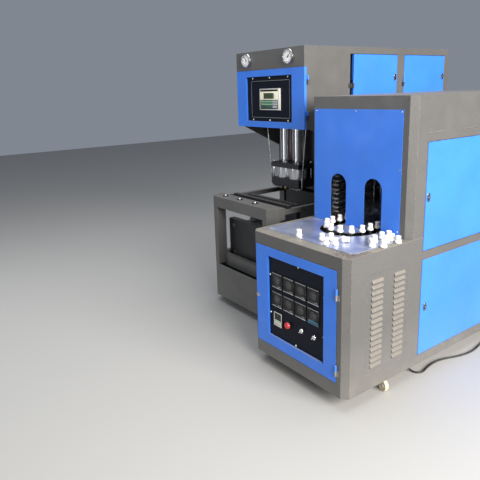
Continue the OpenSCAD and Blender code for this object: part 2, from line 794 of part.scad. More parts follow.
// Piston, rod and the cross beam whose slots lift both knees
module lift_beam() {
    end_z = slot_h / 2 + 12;
    y0 = knee_y - pivot_d / 2 - 16;
    y1 = knee_y + knee_travel + pivot_d / 2 + 16;
    color(steel) in_blower() {
        rod(clamp_bore - 2 * fit, mid_x, station_y, lift_piston_z, lift_piston_z + piston_h);
        rod(clamp_rod_d, mid_x, station_y, lift_piston_z + 1, knee_z - end_z + 1);
        difference() {
            translate([mid_x - beam_t / 2, 0, 0]) rotate([90, 0, 90]) linear_extrude(beam_t)
                polygon([[y0, knee_z - end_z], [2 * station_y - y0, knee_z - end_z],
                    [2 * station_y - y0, knee_z + end_z], [2 * station_y - y1, knee_z + end_z],
                    [2 * station_y - y1 - 30, knee_z], [y1 + 30, knee_z], [y1, knee_z + end_z],
                    [y0, knee_z + end_z]]);
            for (y = [y0 + 10, 2 * station_y - y1 + 6]) slab(mid_x - beam_t, mid_x + beam_t, y,
                y + y1 - y0 - 16, knee_z - slot_h / 2, knee_z + slot_h / 2);
        }
    }
}

// Plates of the twin sealing cylinder and the bracket that hangs it from the head
module station_plates() {
    x0 = mid_x - station_half[0];
    x1 = mid_x + station_half[0];
    y0 = station_y - station_half[1];
    y1 = station_y + station_half[1];
    color(black) in_blower() difference() {
        union() {
            slab(x0, x1, y0, y1, lower_plate_z[0], lower_plate_z[1]);
            slab(x0, x1, y0, y1, upper_plate_z, stretch_z0);
            slab(x0 - 10, x1 + 10, y1 - 1, y1 + 12, lower_plate_z[0] + 10, head_floor_z);
            for (x = [x0 - 10, x1 - 2]) slab(x, x + 12, y1, cabinet_y, lower_plate_z[1], head_floor_z);
        }
        for (x = cav_x) {
            rod(seal_rod_d + 2 * fit, x, station_y, lower_plate_z[0] - 1, lower_plate_z[1] + 1);
            rod(stretch_rod_d + 2 * fit, x, station_y, upper_plate_z - 1, stretch_z0 + 1);
        }
    }
}
module cylinder_barrels() {
    color(steel) in_blower() for (x = cav_x) {
        translate([x, station_y, lower_plate_z[1]]) difference() {
            cylinder(d = seal_cyl_d, h = seal_cyl_h);
            translate([0, 0, -1]) cylinder(d = seal_bore, h = seal_cyl_h + 2);
        }
        translate([x, station_y, stretch_z0]) difference() {
            cylinder(d = stretch_bore + 2 * stretch_wall, h = stretch_h);
            translate([0, 0, -1]) cylinder(d = stretch_bore, h = stretch_h - 11);
        }
    }
}
// Hollow sealing piston with its nozzle
module seal_piston(i) {
    top = upper_plate_z - 8;
    color([0.78, 0.62, 0.3]) in_blower() translate([cav_x[i], station_y, 0]) difference() {
        union() {
            translate([0, 0, top - piston_h]) cylinder(d = seal_bore - 2 * fit, h = piston_h);
            translate([0, 0, nozzle_z + 20]) cylinder(d = seal_rod_d, h = top - nozzle_z - 21);
            translate([0, 0, nozzle_z + 8]) cylinder(d = seal_rod_d - 8, h = 13);
            translate([0, 0, nozzle_z]) cylinder(d1 = 26, d2 = 34, h = 9);
        }
        translate([0, 0, nozzle_z - 1]) cylinder(d = stretch_rod_d + 2 * fit, h = top - nozzle_z + 2);
    }
}
module seal_piston_left() { seal_piston(0); }
module seal_piston_right() { seal_piston(1); }
module stretch_rod(i) {
    top = stretch_z0 + stretch_h - 20;
    color(steel) in_blower() translate([cav_x[i], station_y, 0]) {
        translate([0, 0, nozzle_z + 4]) cylinder(d = stretch_rod_d, h = top - nozzle_z - 5);
        translate([0, 0, top - piston_h]) cylinder(d = stretch_bore - 2 * fit, h = piston_h);
    }
}
module stretch_rod_left() { stretch_rod(0); }
module stretch_rod_right() { stretch_rod(1); }

// Quarter bend of a round tube: starts at the origin along +Z and turns towards +X
module bend(d, r, angle) {
    translate([r, 0, 0]) rotate([90, 0, 0]) rotate([0, 0, 180 - angle])
        rotate_extrude(angle = angle) translate([r, 0, 0]) circle(d = d);
}
// Air tube: down beside the lower plate and in under it to its port
module side_tube(x, dir, d) {
    z = lower_plate_z[0] - 12;
    r = 26;
    translate([x, port_y, 0]) mirror([dir < 0 ? 1 : 0, 0, 0]) {
        rod(d, 0, 0, z + r, tube_top_z);
        rod(d + 6, 0, 0, tube_top_z - 14, tube_top_z + 10);
        translate([0, 0, tube_top_z]) rotate([0, -side_lean, 0]) rod(8, 0, 0, 0, side_len);
        slab(-side_out - 12, -side_out + 12, -12, 12, head_floor_z - 22, head_floor_z);
        translate([0, 0, z + r]) mirror([0, 0, 1]) bend(d, r, 90);
        rod_x(d, r - 1, port_reach, 0, z);
        slab(port_reach - 14, port_reach + 4, -11, 11, z - 10, lower_plate_z[0]);
    }
}
// Hose that rises from the upper plate into the head, with its two ferrules
module hose(x, d) {
    y = station_y + 54;
    rod(d + 8, x, y, stretch_z0, stretch_z0 + 18);
    rod(d, x, y, stretch_z0 + 17, head_floor_z + hose_above);
    rod(d + 6, x, y, head_floor_z + hose_clip[0], head_floor_z + hose_clip[1]);
}
module air_lines() {
    in_blower() {
        color(steel) side_tube(mid_x - station_half[0] - 22, 1, 14);
        color(steel) side_tube(mid_x + station_half[0] + 22, -1, 14);
        color("red") for (x = [mid_x - hose_side, mid_x + hose_side]) hose(x, 16);
    }
}
module valve_manifold() {
    y1 = blower_d - sheet;
    color(steel) in_blower() {
        slab(manifold_in, blower_w - manifold_in, y1 - 20, y1 - 16, manifold_z[0], manifold_z[1]);
        for (x = [manifold_in + 30, blower_w - manifold_in - 30])
            for (z = [manifold_z[0] + 30, manifold_z[1] - 30]) rod_y(18, x, y1 - 17, y1, z);
        for (i = [0:5]) {
            x = 140 + i * valve_pitch;
            slab(x, x + 60, y1 - 80, y1 - 19, valve_z[0], valve_z[1]);
            rod_y(24, x + 30, y1 - 110, y1 - 79, (valve_z[0] + valve_z[1]) / 2);
        }
        slab(120, blower_w - 120, y1 - 66, y1 - 19, 1110, 1160);
        rod_x(150, 120, blower_w - 120, y1 - 100, 860);
        for (x = [160, blower_w - 190]) slab(x, x + 30, y1 - 60, y1 - 19, 820, 900);
    }
}

// Lower hinge halves with their pins, and their leaves on the casings
module hinge_pins() {
    color(steel) {
        in_heater() {
            for (z = front_hinge_z) {
                translate([front_axis[0], front_axis[1], 0]) knuckle_pin(z);
                slab(front_axis[0] + 1, front_axis[0] + leaf, -2, 0, z - hinge_l / 2, z - run_gap);
            }
            for (z = side_hinge_z) {
                translate([side_axis[0], side_axis[1], 0]) knuckle_pin(z);
                slab(heater_w, heater_w + 2, side_axis[1] + 1, side_axis[1] + leaf,
                    z - hinge_l / 2, z - run_gap);
            }
        }
        in_blower() {
            for (z = head_hinge_z) {
                translate([head_axis[0], head_axis[1], 0]) knuckle_pin(z);
                slab(blower_w, blower_w + 1, head_axis[1] + 1, head_axis[1] + leaf,
                    z - hinge_l / 2, z - run_gap);
            }
            for (i = [0, 1]) for (z = tall_hinge_z) {
                y = tall_door_y[i] - hinge_r;
                translate([tall_axis_x, y, 0]) knuckle_pin(z);
                slab(blower_w, blower_w + 2, y - (i == 0 ? slot_gap + 10 : leaf), y - 1,
                    z - hinge_l / 2, z - run_gap);
            }
        }
    }
}

// Stadium shape of the conveyor loop in plan
module loop_plan(r) {
    translate([loop_x, sprocket_y]) circle(r = r);
    translate([loop_x, rear_y]) circle(r = r);
    translate([loop_x - r, sprocket_y]) square([2 * r, run_l]);
}
module heater_cabinet() {
    top = table_z - sheet;
    color(grey) in_heater() {
        difference() {
            translate([0, 0, heater_base_z]) linear_extrude(table_z - heater_base_z) difference() {
                cut_plan(heater_w, 0, heater_d, corner_cut, 0);
                cut_plan(heater_w, 0, heater_d, corner_cut, sheet);
            }
            slab(front_door_x - door_gap, front_door_x + front_door_w + door_gap, -1, sheet + 1,
                front_door_z - door_gap, front_door_z + front_door_h + door_gap);
            slab(heater_w - sheet - 1, heater_w + 1, side_door_y - door_gap,
                side_door_y + side_door_l + door_gap, lower_door_z - door_gap,
                lower_door_z + lower_door_h + door_gap);
            slab(heater_w - sheet - 1, heater_w + 1, side_door_y - door_gap,
                side_door_y + side_door_l + door_gap, upper_door_z - door_gap, table_z + 1);
            slab(-1, heater_w + 1, vent_y[0], vent_y[1], vent_z[0], vent_z[1]);
        }
        difference() {
            translate([0, 0, top]) linear_extrude(sheet) cut_plan(heater_w, 0, heater_d, corner_cut, 0.5);
            translate([0, 0, top - 1]) linear_extrude(sheet + 2) loop_plan(slot_out);
            slab(heater_w - sheet - 22, heater_w + 1, side_door_y - door_gap,
                side_door_y + side_door_l + door_gap, top - 1, table_z + 1);
        }
        translate([0, 0, heater_base_z]) linear_extrude(floor_t)
            cut_plan(heater_w, 0, heater_d, corner_cut, 0.5);
        cabinet_cross();
        for (x = rear_wheel_x) rear_bracket(x);
        for (x = fork_x) difference() {
            slab(x - 38, x + 38, fork_y - 38, fork_y + 38, heater_base_z - caster_plate, heater_base_z + 1);
            rod(king_d + 2 * fit, x, fork_y, heater_base_z - caster_plate - 1, heater_base_z + 2);
        }
    }
}
// Cross members under the conveyor, and the centre rail that carries the island of the table
module cabinet_cross() {
    difference() {
        union() {
            for (y = cross_ys)
                slab(sheet - 0.5, heater_w - sheet + 0.5, y - 20, y + 20, cross_z, cross_z + 34);
            for (y = rail_ys) slab(loop_x - 30, loop_x + 30, y - 20, y + 20, cross_z + 33, rail_z + 1);
            slab(loop_x - 30, loop_x + 30, sprocket_y + 60, rear_y - 60, rail_z, table_z - sheet);
        }
        rod(shaft_d + 4, loop_x, rear_y, cross_z - 1, cross_z + 40);
    }
}
// Rigid rear caster bracket, welded under the floor
module rear_bracket(x) {
    y = rear_wheel_y;
    slab(x - 34, x + 34, y - 34, y + 34, heater_base_z - 4, heater_base_z + 1);
    for (s = [-1, 1]) hull() {
        slab(x + s * cheek_x - 2, x + s * cheek_x + 2, y - 24, y + 24, heater_base_z - 5, heater_base_z - 4);
        rod_x(20, x + s * cheek_x - 2, x + s * cheek_x + 2, y, wheel_d / 2);
    }
    rod_x(axle_d, x - cheek_x - 4, x + cheek_x + 4, y, wheel_d / 2);
}

// One pressed louvre on a -X or +X face: hood open at its lower edge
module louvre(y, z) {
    h = 19;
    translate([0, y + louvre_l, z]) rotate([90, 0, 0]) linear_extrude(louvre_l)
        polygon([[-panel_t, h], [0, h], [louvre_out, 3], [louvre_out, 0], [louvre_out - 1.2, 0],
            [louvre_out - 1.2, 2.6], [-panel_t, h - 2.6]]);
    for (e = [0, louvre_l - 1.2]) translate([0, y + e + 1.2, z]) rotate([90, 0, 0])
        linear_extrude(1.2) polygon([[-panel_t, h], [0, h], [louvre_out, 3], [louvre_out, 0], [-panel_t, 0]]);
}
module louvre_sheet() {
    difference() {
        slab(-panel_t, 0, vent_y[0] + run_gap, vent_y[1] - run_gap, vent_z[0] + run_gap, vent_z[1] - run_gap);
        for (y = louvre_y) for (i = [0:louvre_count - 1])
            slab(-panel_t - 1, 1, y + 1, y + louvre_l - 1, louvre_z + i * louvre_pitch + 1,
                louvre_z + i * louvre_pitch + 15);
    }
    for (y = louvre_y) for (i = [0:louvre_count - 1]) louvre(y, louvre_z + i * louvre_pitch);
}
module louvre_panels() {
    color(grey) in_heater() {
        translate([heater_w, 0, 0]) louvre_sheet();
        mirror([1, 0, 0]) louvre_sheet();
    }
}

module table_plate() {
    x0 = 40;
    x1 = heater_w - 40;
    y0 = 80;
    y1 = table_d - 2 - run_gap;
    c = 26;
    color(steel) in_heater() {
        translate([0, 0, table_z]) linear_extrude(plate_t) difference() {
            polygon([[x0 + c, y0], [x1 - c, y0], [x1, y0 + c], [x1, y1], [x0, y1], [x0, y0 + c]]);
            loop_plan(slot_out);
        }
        translate([0, 0, table_z - sheet]) linear_extrude(plate_t + sheet) loop_plan(slot_in);
    }
}

module arch_cut(x) {
    square_h = arch_top_z - arch_w / 2;
    translate([x - arch_w / 2, 0]) square([arch_w, square_h]);
    translate([x, square_h]) circle(d = arch_w);
}
module arch_panel() {
    color(blue) in_heater() translate([0, table_d, 0]) rotate([90, 0, 0]) linear_extrude(2) difference() {
        translate([arch_sheet_x[0], table_z + plate_t + 1])
            square([arch_sheet_x[1] - arch_sheet_x[0], arch_sheet_top - table_z - plate_t - 1]);
        for (x = arch_x) arch_cut(x);
    }
}
module oven_casing() {
    color(grey) in_heater() {
        difference() {
            translate([0, 0, table_z]) linear_extrude(oven_z - table_z) difference() {
                cut_plan(heater_w, table_d, heater_d, corner_cut, 0);
                cut_plan(heater_w, table_d, heater_d, corner_cut, sheet);
            }
            slab(arch_sheet_x[0] + 14, arch_sheet_x[1] - 14, table_d - 1, table_d + sheet + 1,
                table_z - 1, arch_sheet_top - 14);
            slab(heater_w - sheet - 1, heater_w + 1, side_door_y - door_gap,
                side_door_y + side_door_l + door_gap, table_z - 1, upper_door_z + upper_door_h + door_gap);
        }
        translate([0, 0, oven_z - sheet]) linear_extrude(sheet)
            cut_plan(heater_w, table_d, heater_d, corner_cut, 0.5);
    }
}

module heater_door() {
    color(blue) in_heater() {
        difference() {
            pan_front(front_door_x, front_door_z, front_door_w, front_door_h, -1);
            slab(panel_x, panel_x + panel_w, -2, skin, panel_z, panel_z + panel_h);
        }
        reveal_front(panel_x, panel_z, panel_w, panel_h, -1);
        for (z = front_hinge_z) {
            translate([front_axis[0], front_axis[1], 0]) knuckle(z);
            slab(front_axis[0] - leaf, front_axis[0] - 2, -1 - leaf_t, -1, z, leaf_top(z));
        }
        translate([front_door_x + 16, -1, front_door_z + 294]) rotate([90, 0, 0]) {
            cylinder(d = 24, h = 3);
            cylinder(d = 16, h = 8);
        }
    }
}
module heater_panel() {
    y = panel_y - 1;
    color(black) in_heater() difference() {
        slab(panel_x - 8, panel_x + panel_w + 8, y, y + 2, panel_z - 8, panel_z + panel_h + 8);
        rod_y(16 + 2 * fit, stop_at[0], y - 1, y + 3, stop_at[1]);
        for (p = lever_at) rod_y(12 + 2 * fit, p[0], y - 1, y + 3, p[1]);
    }
}
module panel_instruments() {
    y = panel_y - 1;
    color([0.15, 0.15, 0.16]) in_heater() {
        for (x = module_x) for (z = module_z) difference() {
            slab(x, x + module_w, y - 5, y, z, z + module_h);
            slab(x + 5, x + module_w - 5, y - 6, y - 3, z + 10, z + module_h - 8);
        }
        difference() {
            slab(meter[0], meter[0] + meter[2], y - 7, y, meter[1], meter[1] + meter[3]);
            slab(meter[0] + 9, meter[0] + meter[2] - 9, y - 8, y - 5, meter[1] + 38,
                meter[1] + meter[3] - 10);
        }
    }
}
module stop_button() {
    color("red") in_heater() translate([stop_at[0], panel_y - 1, stop_at[1]]) rotate([90, 0, 0]) {
        translate([0, 0, -24]) cylinder(d = 16, h = 34);
        translate([0, 0, 9]) cylinder(d1 = 30, d2 = 40, h = 4);
        translate([0, 0, 13]) cylinder(d1 = 40, d2 = 32, h = 9);
    }
}
// Lever selector, its lever turned by an angle from the top
module selector(i, angle) {
    color(steel) in_heater() translate([lever_at[i][0], panel_y - 1, lever_at[i][1]]) rotate([90, 0, 0]) {
        translate([0, 0, -24]) cylinder(d = 12, h = 26);
        translate([0, 0, run_gap]) cylinder(d = 28, h = 12);
        rotate([0, 0, -angle]) translate([0, 0, 10]) {
            translate([-5, -12, 0]) cube([10, 40, 12]);
            translate([0, 28, 0]) cylinder(d = 10, h = 12);
        }
    }
}
module selector_left() { selector(0, 40); }
module selector_right() { selector(1, 40); }

module side_door(z, h, lock_y, lock_z) {
    color(blue) in_heater() {
        pan_side(side_door_y, z, side_door_l, h, heater_w + 1);
        for (hz = side_hinge_z) if (hz > z && hz < z + h) {
            translate([side_axis[0], side_axis[1], 0]) knuckle(hz);
            slab(heater_w + 1, heater_w + 1 + leaf_t, side_axis[1] - leaf, side_axis[1] - 2,
                hz, leaf_top(hz));
        }
        lock_side(heater_w + 1, lock_y, lock_z);
    }
}
module oven_door_upper() { side_door(upper_door_z, upper_door_h, side_door_y + 22, upper_door_z + 298); }
module oven_door_lower() { side_door(lower_door_z, lower_door_h, side_door_y + 42, lower_door_z + 286); }

// Swivel fork: race, king pin, two cheeks and the axle; its trail points at an angle from +X
module caster_fork(i) {
    z1 = heater_base_z - caster_plate - run_gap;
    color(steel) in_heater() translate([fork_x[i], fork_y, 0]) rotate([0, 0, fork_turn]) {
        rod(king_d, 0, 0, z1 - 1, heater_base_z - run_gap);
        rod(44, 0, 0, z1 - 4, z1);
        slab(-18, 22, -cheek_x - 2, cheek_x + 2, z1 - 4, z1 - 2);
        for (s = [-1, 1]) hull() {
            slab(-16, 22, s * cheek_x - 2, s * cheek_x + 2, z1 - 4, z1 - 3);
            rod_y(18, trail, s * cheek_x - 2, s * cheek_x + 2, wheel_d / 2);
        }
        rod_y(axle_d, trail, -cheek_x - 5, cheek_x + 5, wheel_d / 2);
    }
}
module caster_fork_left() { caster_fork(0); }
module caster_fork_right() { caster_fork(1); }
// Wheel turned as one profile about its own axis: tread, web and hub
module wheel() {
    r = wheel_d / 2;
    w = wheel_w / 2;
    rotate([90, 0, 0]) rotate_extrude() polygon([[axle_d / 2 + fit, -w], [12, -w], [14, -w + 4],
        [r - 9, -w + 4], [r - 6, -w + 1], [r - 2, -w + 1], [r, -w + 4], [r, w - 4],
        [r - 2, w - 1], [r - 6, w - 1],
        [r - 9, w - 4], [14, w - 4], [12, w], [axle_d / 2 + fit, w]]);
}
module front_wheel(i) {
    color([0.9, 0.86, 0.7]) in_heater() translate([fork_x[i], fork_y, 0]) rotate([0, 0, fork_turn])
        translate([trail, 0, wheel_d / 2]) wheel();
}
module rear_wheel(i) {
    color([0.9, 0.86, 0.7]) in_heater() translate([rear_wheel_x[i], rear_wheel_y, wheel_d / 2])
        rotate([0, 0, 90]) wheel();
}
module wheel_front_left() { front_wheel(0); }
module wheel_front_right() { front_wheel(1); }
module wheel_rear_left() { rear_wheel(0); }
module wheel_rear_right() { rear_wheel(1); }

// Side plate of a chain link in plan, between its two joints
module plate_shape(len) {
    circle(d = plate_h);
    translate([len, 0]) circle(d = plate_h);
    translate([0, -plate_h * 0.42]) square([len, plate_h * 0.84]);
}
module at_link(i) {
    p = joint_at(i % link_count);
    q = joint_at((i + 1) % link_count);
    translate([loop_x + p[0], p[1], chain_z]) rotate([0, 0, atan2(q[1] - p[1], q[0] - p[0])]) children();
}
// Inner links carry bored rollers, outer links carry the pins, and every second pin is a spindle
module inner_link() {
    difference() {
        union() {
            for (z = [-6.4, 4.4]) translate([0, 0, z]) linear_extrude(2) plate_shape(chain_pitch);
            for (x = [0, chain_pitch]) translate([x, 0, -5]) cylinder(d = roller_d, h = 10);
        }
        for (x = [0, chain_pitch]) translate([x, 0, -8]) cylinder(d = chain_pin_d + 2 * fit, h = 16);
    }
}
module outer_link() {
    for (z = [-8.6, 6.6]) translate([0, 0, z]) linear_extrude(2) plate_shape(chain_pitch);
    for (x = [0, chain_pitch]) translate([x, 0, -9.5]) cylinder(d = chain_pin_d, h = 19);
    translate([0, 0, 8]) cylinder(d = spindle_d, h = seat_z + 15 - chain_z - 8);
}
module conveyor_chain() {
    color([0.2, 0.2, 0.2]) in_heater() for (i = [0:link_count / 2 - 1]) {
        at_link(2 * i) inner_link();
        at_link(2 * i + 1) outer_link();
    }
}
// Stepped seat that a preform's neck is pushed on to, bored for its spindle
module seat() {
    rotate_extrude() polygon([[spindle_d / 2 + fit, 0], [seat_d * 0.36, 0], [seat_d * 0.46, 1.5],
        [seat_d / 2, 5], [seat_d / 2, 10], [seat_d * 0.46, 12], [seat_d * 0.38, seat_h * 0.5],
        [seat_d * 0.37, seat_h * 0.72], [seat_d * 0.39, seat_h * 0.76], [seat_d * 0.39, seat_h - 2],
        [seat_d * 0.34, seat_h], [0, seat_h], [0, 15], [spindle_d / 2 + fit, 15]]);
}
module preform_seats() {
    color("white") in_heater() {
        for (i = [0:link_count / 2 - 1]) {
            p = joint_at(2 * i + 1);
            translate([loop_x + p[0], p[1], seat_z]) seat();
        }
        for (p = spare_up) translate([heater_w - p[0], p[1], table_z + p[2]]) seat();
        for (p = spare_down) translate([heater_w - p[0], p[1], table_z + plate_t + seat_d / 2])
            rotate([0, 0, p[2]]) rotate([0, 90, 0]) seat();
    }
}
// Sprocket with a round tooth space for each roller
module sprocket() {
    difference() {
        cylinder(r = sprocket_r + 3.4, h = 7.4, center = true, $fn = 96);
        for (i = [0:sprocket_teeth - 1]) rotate([0, 0, i * 360 / sprocket_teeth])
            for (flare = [0, 5]) translate([sprocket_r + flare, 0, -6])
                cylinder(d = roller_d + 2 * run_gap + flare * 0.5, h = 12);
        for (i = [0:5]) rotate([0, 0, i * 60]) translate([sprocket_r * 0.62, 0, -6])
            cylinder(d = lightening_d, h = 12);
    }
}
module conveyor_drive() {
    color([0.3, 0.32, 0.34]) in_heater() {
        for (y = [sprocket_y, rear_y]) translate([loop_x, y, chain_z]) {
            sprocket();
            cylinder(d = hub_d, h = 22, center = true);
        }
        rod(shaft_d, loop_x, sprocket_y, cross_z + 34, chain_z + 14);
        rod(bearing_d, loop_x, sprocket_y, cross_z + 34, cross_z + bearing_h);
        rod(shaft_d, loop_x, rear_y, cross_z - 10, chain_z + 14);
        slab(loop_x - 80, loop_x + 80, rear_y - 80, rear_y + 80, cross_z - 130, cross_z);
        rod(140, loop_x, rear_y, cross_z - 340, cross_z - 129);
    }
}

// Bank of lamps on its uprights, with the reflector behind it
module lamp_bank() {
    top = lamp_z0 + lamp_count * lamp_pitch;
    slab(bank_x[0] - 2, bank_x[0], lamp_y[0] - 30, lamp_y[1] + 30, table_z + 14, top + 20);
    for (y = [lamp_y[0] - 20, lamp_y[1]]) {
        slab(bank_x[0] - 1, bank_x[0] + 14, y, y + 20, table_z, top + 20);
        for (i = [0:lamp_count - 1]) slab(bank_x[0] + 13, bank_x[0] + 48, y, y + 20,
            lamp_z0 + i * lamp_pitch - 12, lamp_z0 + i * lamp_pitch + 12);
    }
    for (i = [0:lamp_count - 1])
        rod_y(lamp_d, bank_x[0] + 34, lamp_y[0] - 44, lamp_y[1] + 44, lamp_z0 + i * lamp_pitch);
}
module lamp_banks() {
    color(steel) in_heater() {
        lamp_bank();
        translate([2 * loop_x, 0, 0]) mirror([1, 0, 0]) lamp_bank();
        slab(loop_x - 1, loop_x + 1, lamp_y[0], rear_y + 60, table_z + plate_t, partition_z);
        for (y = [lamp_y[0] - 12, rear_y + 60])
            slab(loop_x - 8, loop_x + 8, y, y + 12, table_z + plate_t, partition_z);
    }
}

module cord_gland() {
    x = cord_path[0][0];
    y = cord_path[0][1];
    z = cord_path[0][2];
    color(black) in_heater() {
        slab(x - 48, x - 44, y - 26, y + 26, z - 22, heater_base_z);
        slab(x - 72, x - 44, y - 26, y + 26, heater_base_z - 3, heater_base_z);
        rod_x(30, x - 54, x - 36, y, z);
        translate([x - 37, y, z]) rotate([0, 90, 0]) cylinder(d1 = 24, d2 = cord_d + 3, h = 37);
    }
}
// Smooth curve through the cord's points, and the frames that its sides ride on
function spline(p, i, t) =
    let (a = p[max(i - 1, 0)], b = p[i], c = p[i + 1], d = p[min(i + 2, len(p) - 1)])
    0.5 * (2 * b + t * (c - a) + t * t * (2 * a - 5 * b + 4 * c - d) + t * t * t * (3 * b - 3 * c + d - a));
function unit(v) = v / norm(v);
module cord_tube(p, d, sides) {
    pts = concat([for (i = [0:len(p) - 2]) for (k = [0, 0.5]) spline(p, i, k)], [p[len(p) - 1]]);
    n = len(pts);
    rings = [for (i = [0:n - 1])
        let (t = unit(pts[min(i + 1, n - 1)] - pts[max(i - 1, 0)]), side = unit(cross(t, [0, 0, 1])),
            up = cross(side, t))
        for (k = [0:sides - 1]) pts[i] + d / 2 * (cos(k * 360 / sides) * side + sin(k * 360 / sides) * up)];
    walls = [for (i = [0:n - 2]) for (k = [0:sides - 1]) let (j = (k + 1) % sides)
        [i * sides + k, i * sides + j, (i + 1) * sides + j, (i + 1) * sides + k]];
    caps = [[for (k = [sides - 1:-1:0]) k], [for (k = [0:sides - 1]) (n - 1) * sides + k]];
    polyhedron(rings, concat(walls, caps));
}
module mains_cord() { color(black) in_heater() cord_tube(cord_path, cord_d, 8); }
module cord_coil() {
    color(black) in_heater() translate([coil_at[0], coil_at[1], 0]) rotate_extrude()
        translate([coil_r, 0]) polygon([[-14, 0], [14, 0], [17, 6], [17, 18], [11, 24], [-11, 24],
            [-17, 18], [-17, 6]]);
}
module mains_plug() {
    color(black) in_heater() translate([coil_at[0] - coil_r, coil_at[1] + 40, plug_d / 2])
        rotate([-90, 0, 0]) {
            cylinder(d1 = cord_d + 5, d2 = 34, h = 34);
            translate([0, 0, 33]) cylinder(d = plug_d - 6, h = 40);
            translate([0, 0, 72]) difference() {
                cylinder(d = plug_d, h = 46);
                translate([0, 0, 6]) cylinder(d = plug_d - 6, h = 41);
            }
            for (a = [0:90:270]) rotate([0, 0, a]) translate([14, 0, 76]) cylinder(d = 6, h = 34);
        }
}

blower_frame();
levelling_feet();
blower_casing();
head_door();
head_panel();
blow_controller();
pressure_gauges();
gauge_needle_left();
gauge_needle_right();
tall_door_front();
tall_door_rear();
push_button_left();
push_button_middle();
push_button_right();
fixed_plates();
tie_bars();
front_platen();
rear_platen();
front_crank();
front_link();
rear_crank();
rear_link();
clamp_cylinder();
lift_beam();
station_plates();
cylinder_barrels();
seal_piston_left();
seal_piston_right();
stretch_rod_left();
stretch_rod_right();
air_lines();
valve_manifold();
hinge_pins();
heater_cabinet();
oven_casing();
louvre_panels();
table_plate();
arch_panel();
heater_door();
heater_panel();
panel_instruments();
stop_button();
selector_left();
selector_right();
oven_door_upper();
oven_door_lower();
caster_fork_left();
caster_fork_right();
wheel_front_left();
wheel_front_right();
wheel_rear_left();
wheel_rear_right();
conveyor_chain();
preform_seats();
conveyor_drive();
lamp_banks();
cord_gland();
mains_cord();
cord_coil();
mains_plug();
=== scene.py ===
"""Looks of a two-unit blow moulding machine: a preform heater and the blowing and clamping unit
beside it. Metres, Z up, fronts face -Y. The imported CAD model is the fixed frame; this script gives
every sheet, casting and fitting its finish and adds the small fittings that the solids leave out."""

import bmesh
import bpy
import math
from mathutils import Matrix, Vector


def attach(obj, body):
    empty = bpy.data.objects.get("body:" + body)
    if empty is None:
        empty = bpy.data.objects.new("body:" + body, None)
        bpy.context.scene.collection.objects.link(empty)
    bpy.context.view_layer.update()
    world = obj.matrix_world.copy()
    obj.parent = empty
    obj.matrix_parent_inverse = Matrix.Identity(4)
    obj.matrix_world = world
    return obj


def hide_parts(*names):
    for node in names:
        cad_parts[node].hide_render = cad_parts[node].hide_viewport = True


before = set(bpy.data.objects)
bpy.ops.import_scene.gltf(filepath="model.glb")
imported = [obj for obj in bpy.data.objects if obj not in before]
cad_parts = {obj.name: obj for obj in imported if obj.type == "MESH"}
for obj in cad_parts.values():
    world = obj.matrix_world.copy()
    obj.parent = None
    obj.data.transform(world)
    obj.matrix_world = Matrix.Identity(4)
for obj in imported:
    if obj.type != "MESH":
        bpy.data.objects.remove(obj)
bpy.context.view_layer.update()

MM = 0.001
# The two units' own corners in the shared frame: front, left and floor
HEATER = Vector((0.111, -1.123, 0.0))
BLOWER = Vector((-0.871, -0.797, 0.0))


def on_heater(x, y, z):
    """A point of the heater's own frame, in millimetres, as a point of the shared frame."""
    return HEATER + Vector((x, y, z)) * MM


# Camera
PHOTO_SIDE = 480
SENSOR_MM = 36.0
FOCAL_PX = 511.61
CENTRE_PX = (240.83, 212.35)
CAMERA_AT = Vector((2.47817, -2.88291, 1.65379))
CAMERA_TURN = (-54.592, -13.366, -1.839)


def make_camera():
    """The photographer's camera: its lens, place, turn and tilt."""
    azimuth, elevation, roll = (math.radians(a) for a in CAMERA_TURN)
    forward = Vector((math.sin(azimuth) * math.cos(elevation),
                      math.cos(azimuth) * math.cos(elevation), math.sin(elevation)))
    level = forward.cross(Vector((0, 0, 1))).normalized()
    upright = level.cross(forward)
    right = level * math.cos(roll) + upright * math.sin(roll)
    up = -level * math.sin(roll) + upright * math.cos(roll)
    data = bpy.data.cameras.new("photo_camera")
    data.sensor_width = SENSOR_MM
    data.lens = SENSOR_MM * FOCAL_PX / PHOTO_SIDE
    data.shift_x = (PHOTO_SIDE / 2 - CENTRE_PX[0]) / PHOTO_SIDE
    data.shift_y = (CENTRE_PX[1] - PHOTO_SIDE / 2) / PHOTO_SIDE
    data.clip_start = 0.05
    camera = bpy.data.objects.new("photo_camera", data)
    bpy.context.scene.collection.objects.link(camera)
    turn = Matrix((right, up, -forward)).transposed().to_4x4()
    camera.matrix_world = Matrix.Translation(CAMERA_AT) @ turn
    bpy.context.scene.camera = camera


make_camera()


# Shader helpers
def new_material(name, roughness=0.5, metallic=0.0, specular=0.5):
    """A material, its node tree and the inputs of its shader."""
    material = bpy.data.materials.new(name)
    material.use_nodes = True
    skin = material.node_tree.nodes["Principled BSDF"].inputs
    skin["Roughness"].default_value = roughness
    skin["Metallic"].default_value = metallic
    skin["Specular IOR Level"].default_value = specular
    return material, material.node_tree, skin


def add(tree, kind, **values):
    """A node of this kind with its inputs and settings, by name."""
    node = tree.nodes.new(kind)
    for name, value in values.items():
        if name.startswith("in_"):
            node.inputs[name[3:].replace("_", " ")].default_value = value
        else:
            setattr(node, name, value)
    return node


def feed(tree, socket, value):
    """Gives a socket a link, a colour or a plain value."""
    if isinstance(value, bpy.types.NodeSocket):
        tree.links.new(value, socket)
    elif socket.type == "RGBA":
        socket.default_value = tuple(value) + (1.0,)
    else:
        socket.default_value = value


def object_place(tree):
    """The coordinate that every texture here is laid on."""
    return add(tree, "ShaderNodeTexCoord").outputs["Object"]


def surface_normal(tree):
    """The direction that the surface faces."""
    return add(tree, "ShaderNodeNewGeometry").outputs["Normal"]


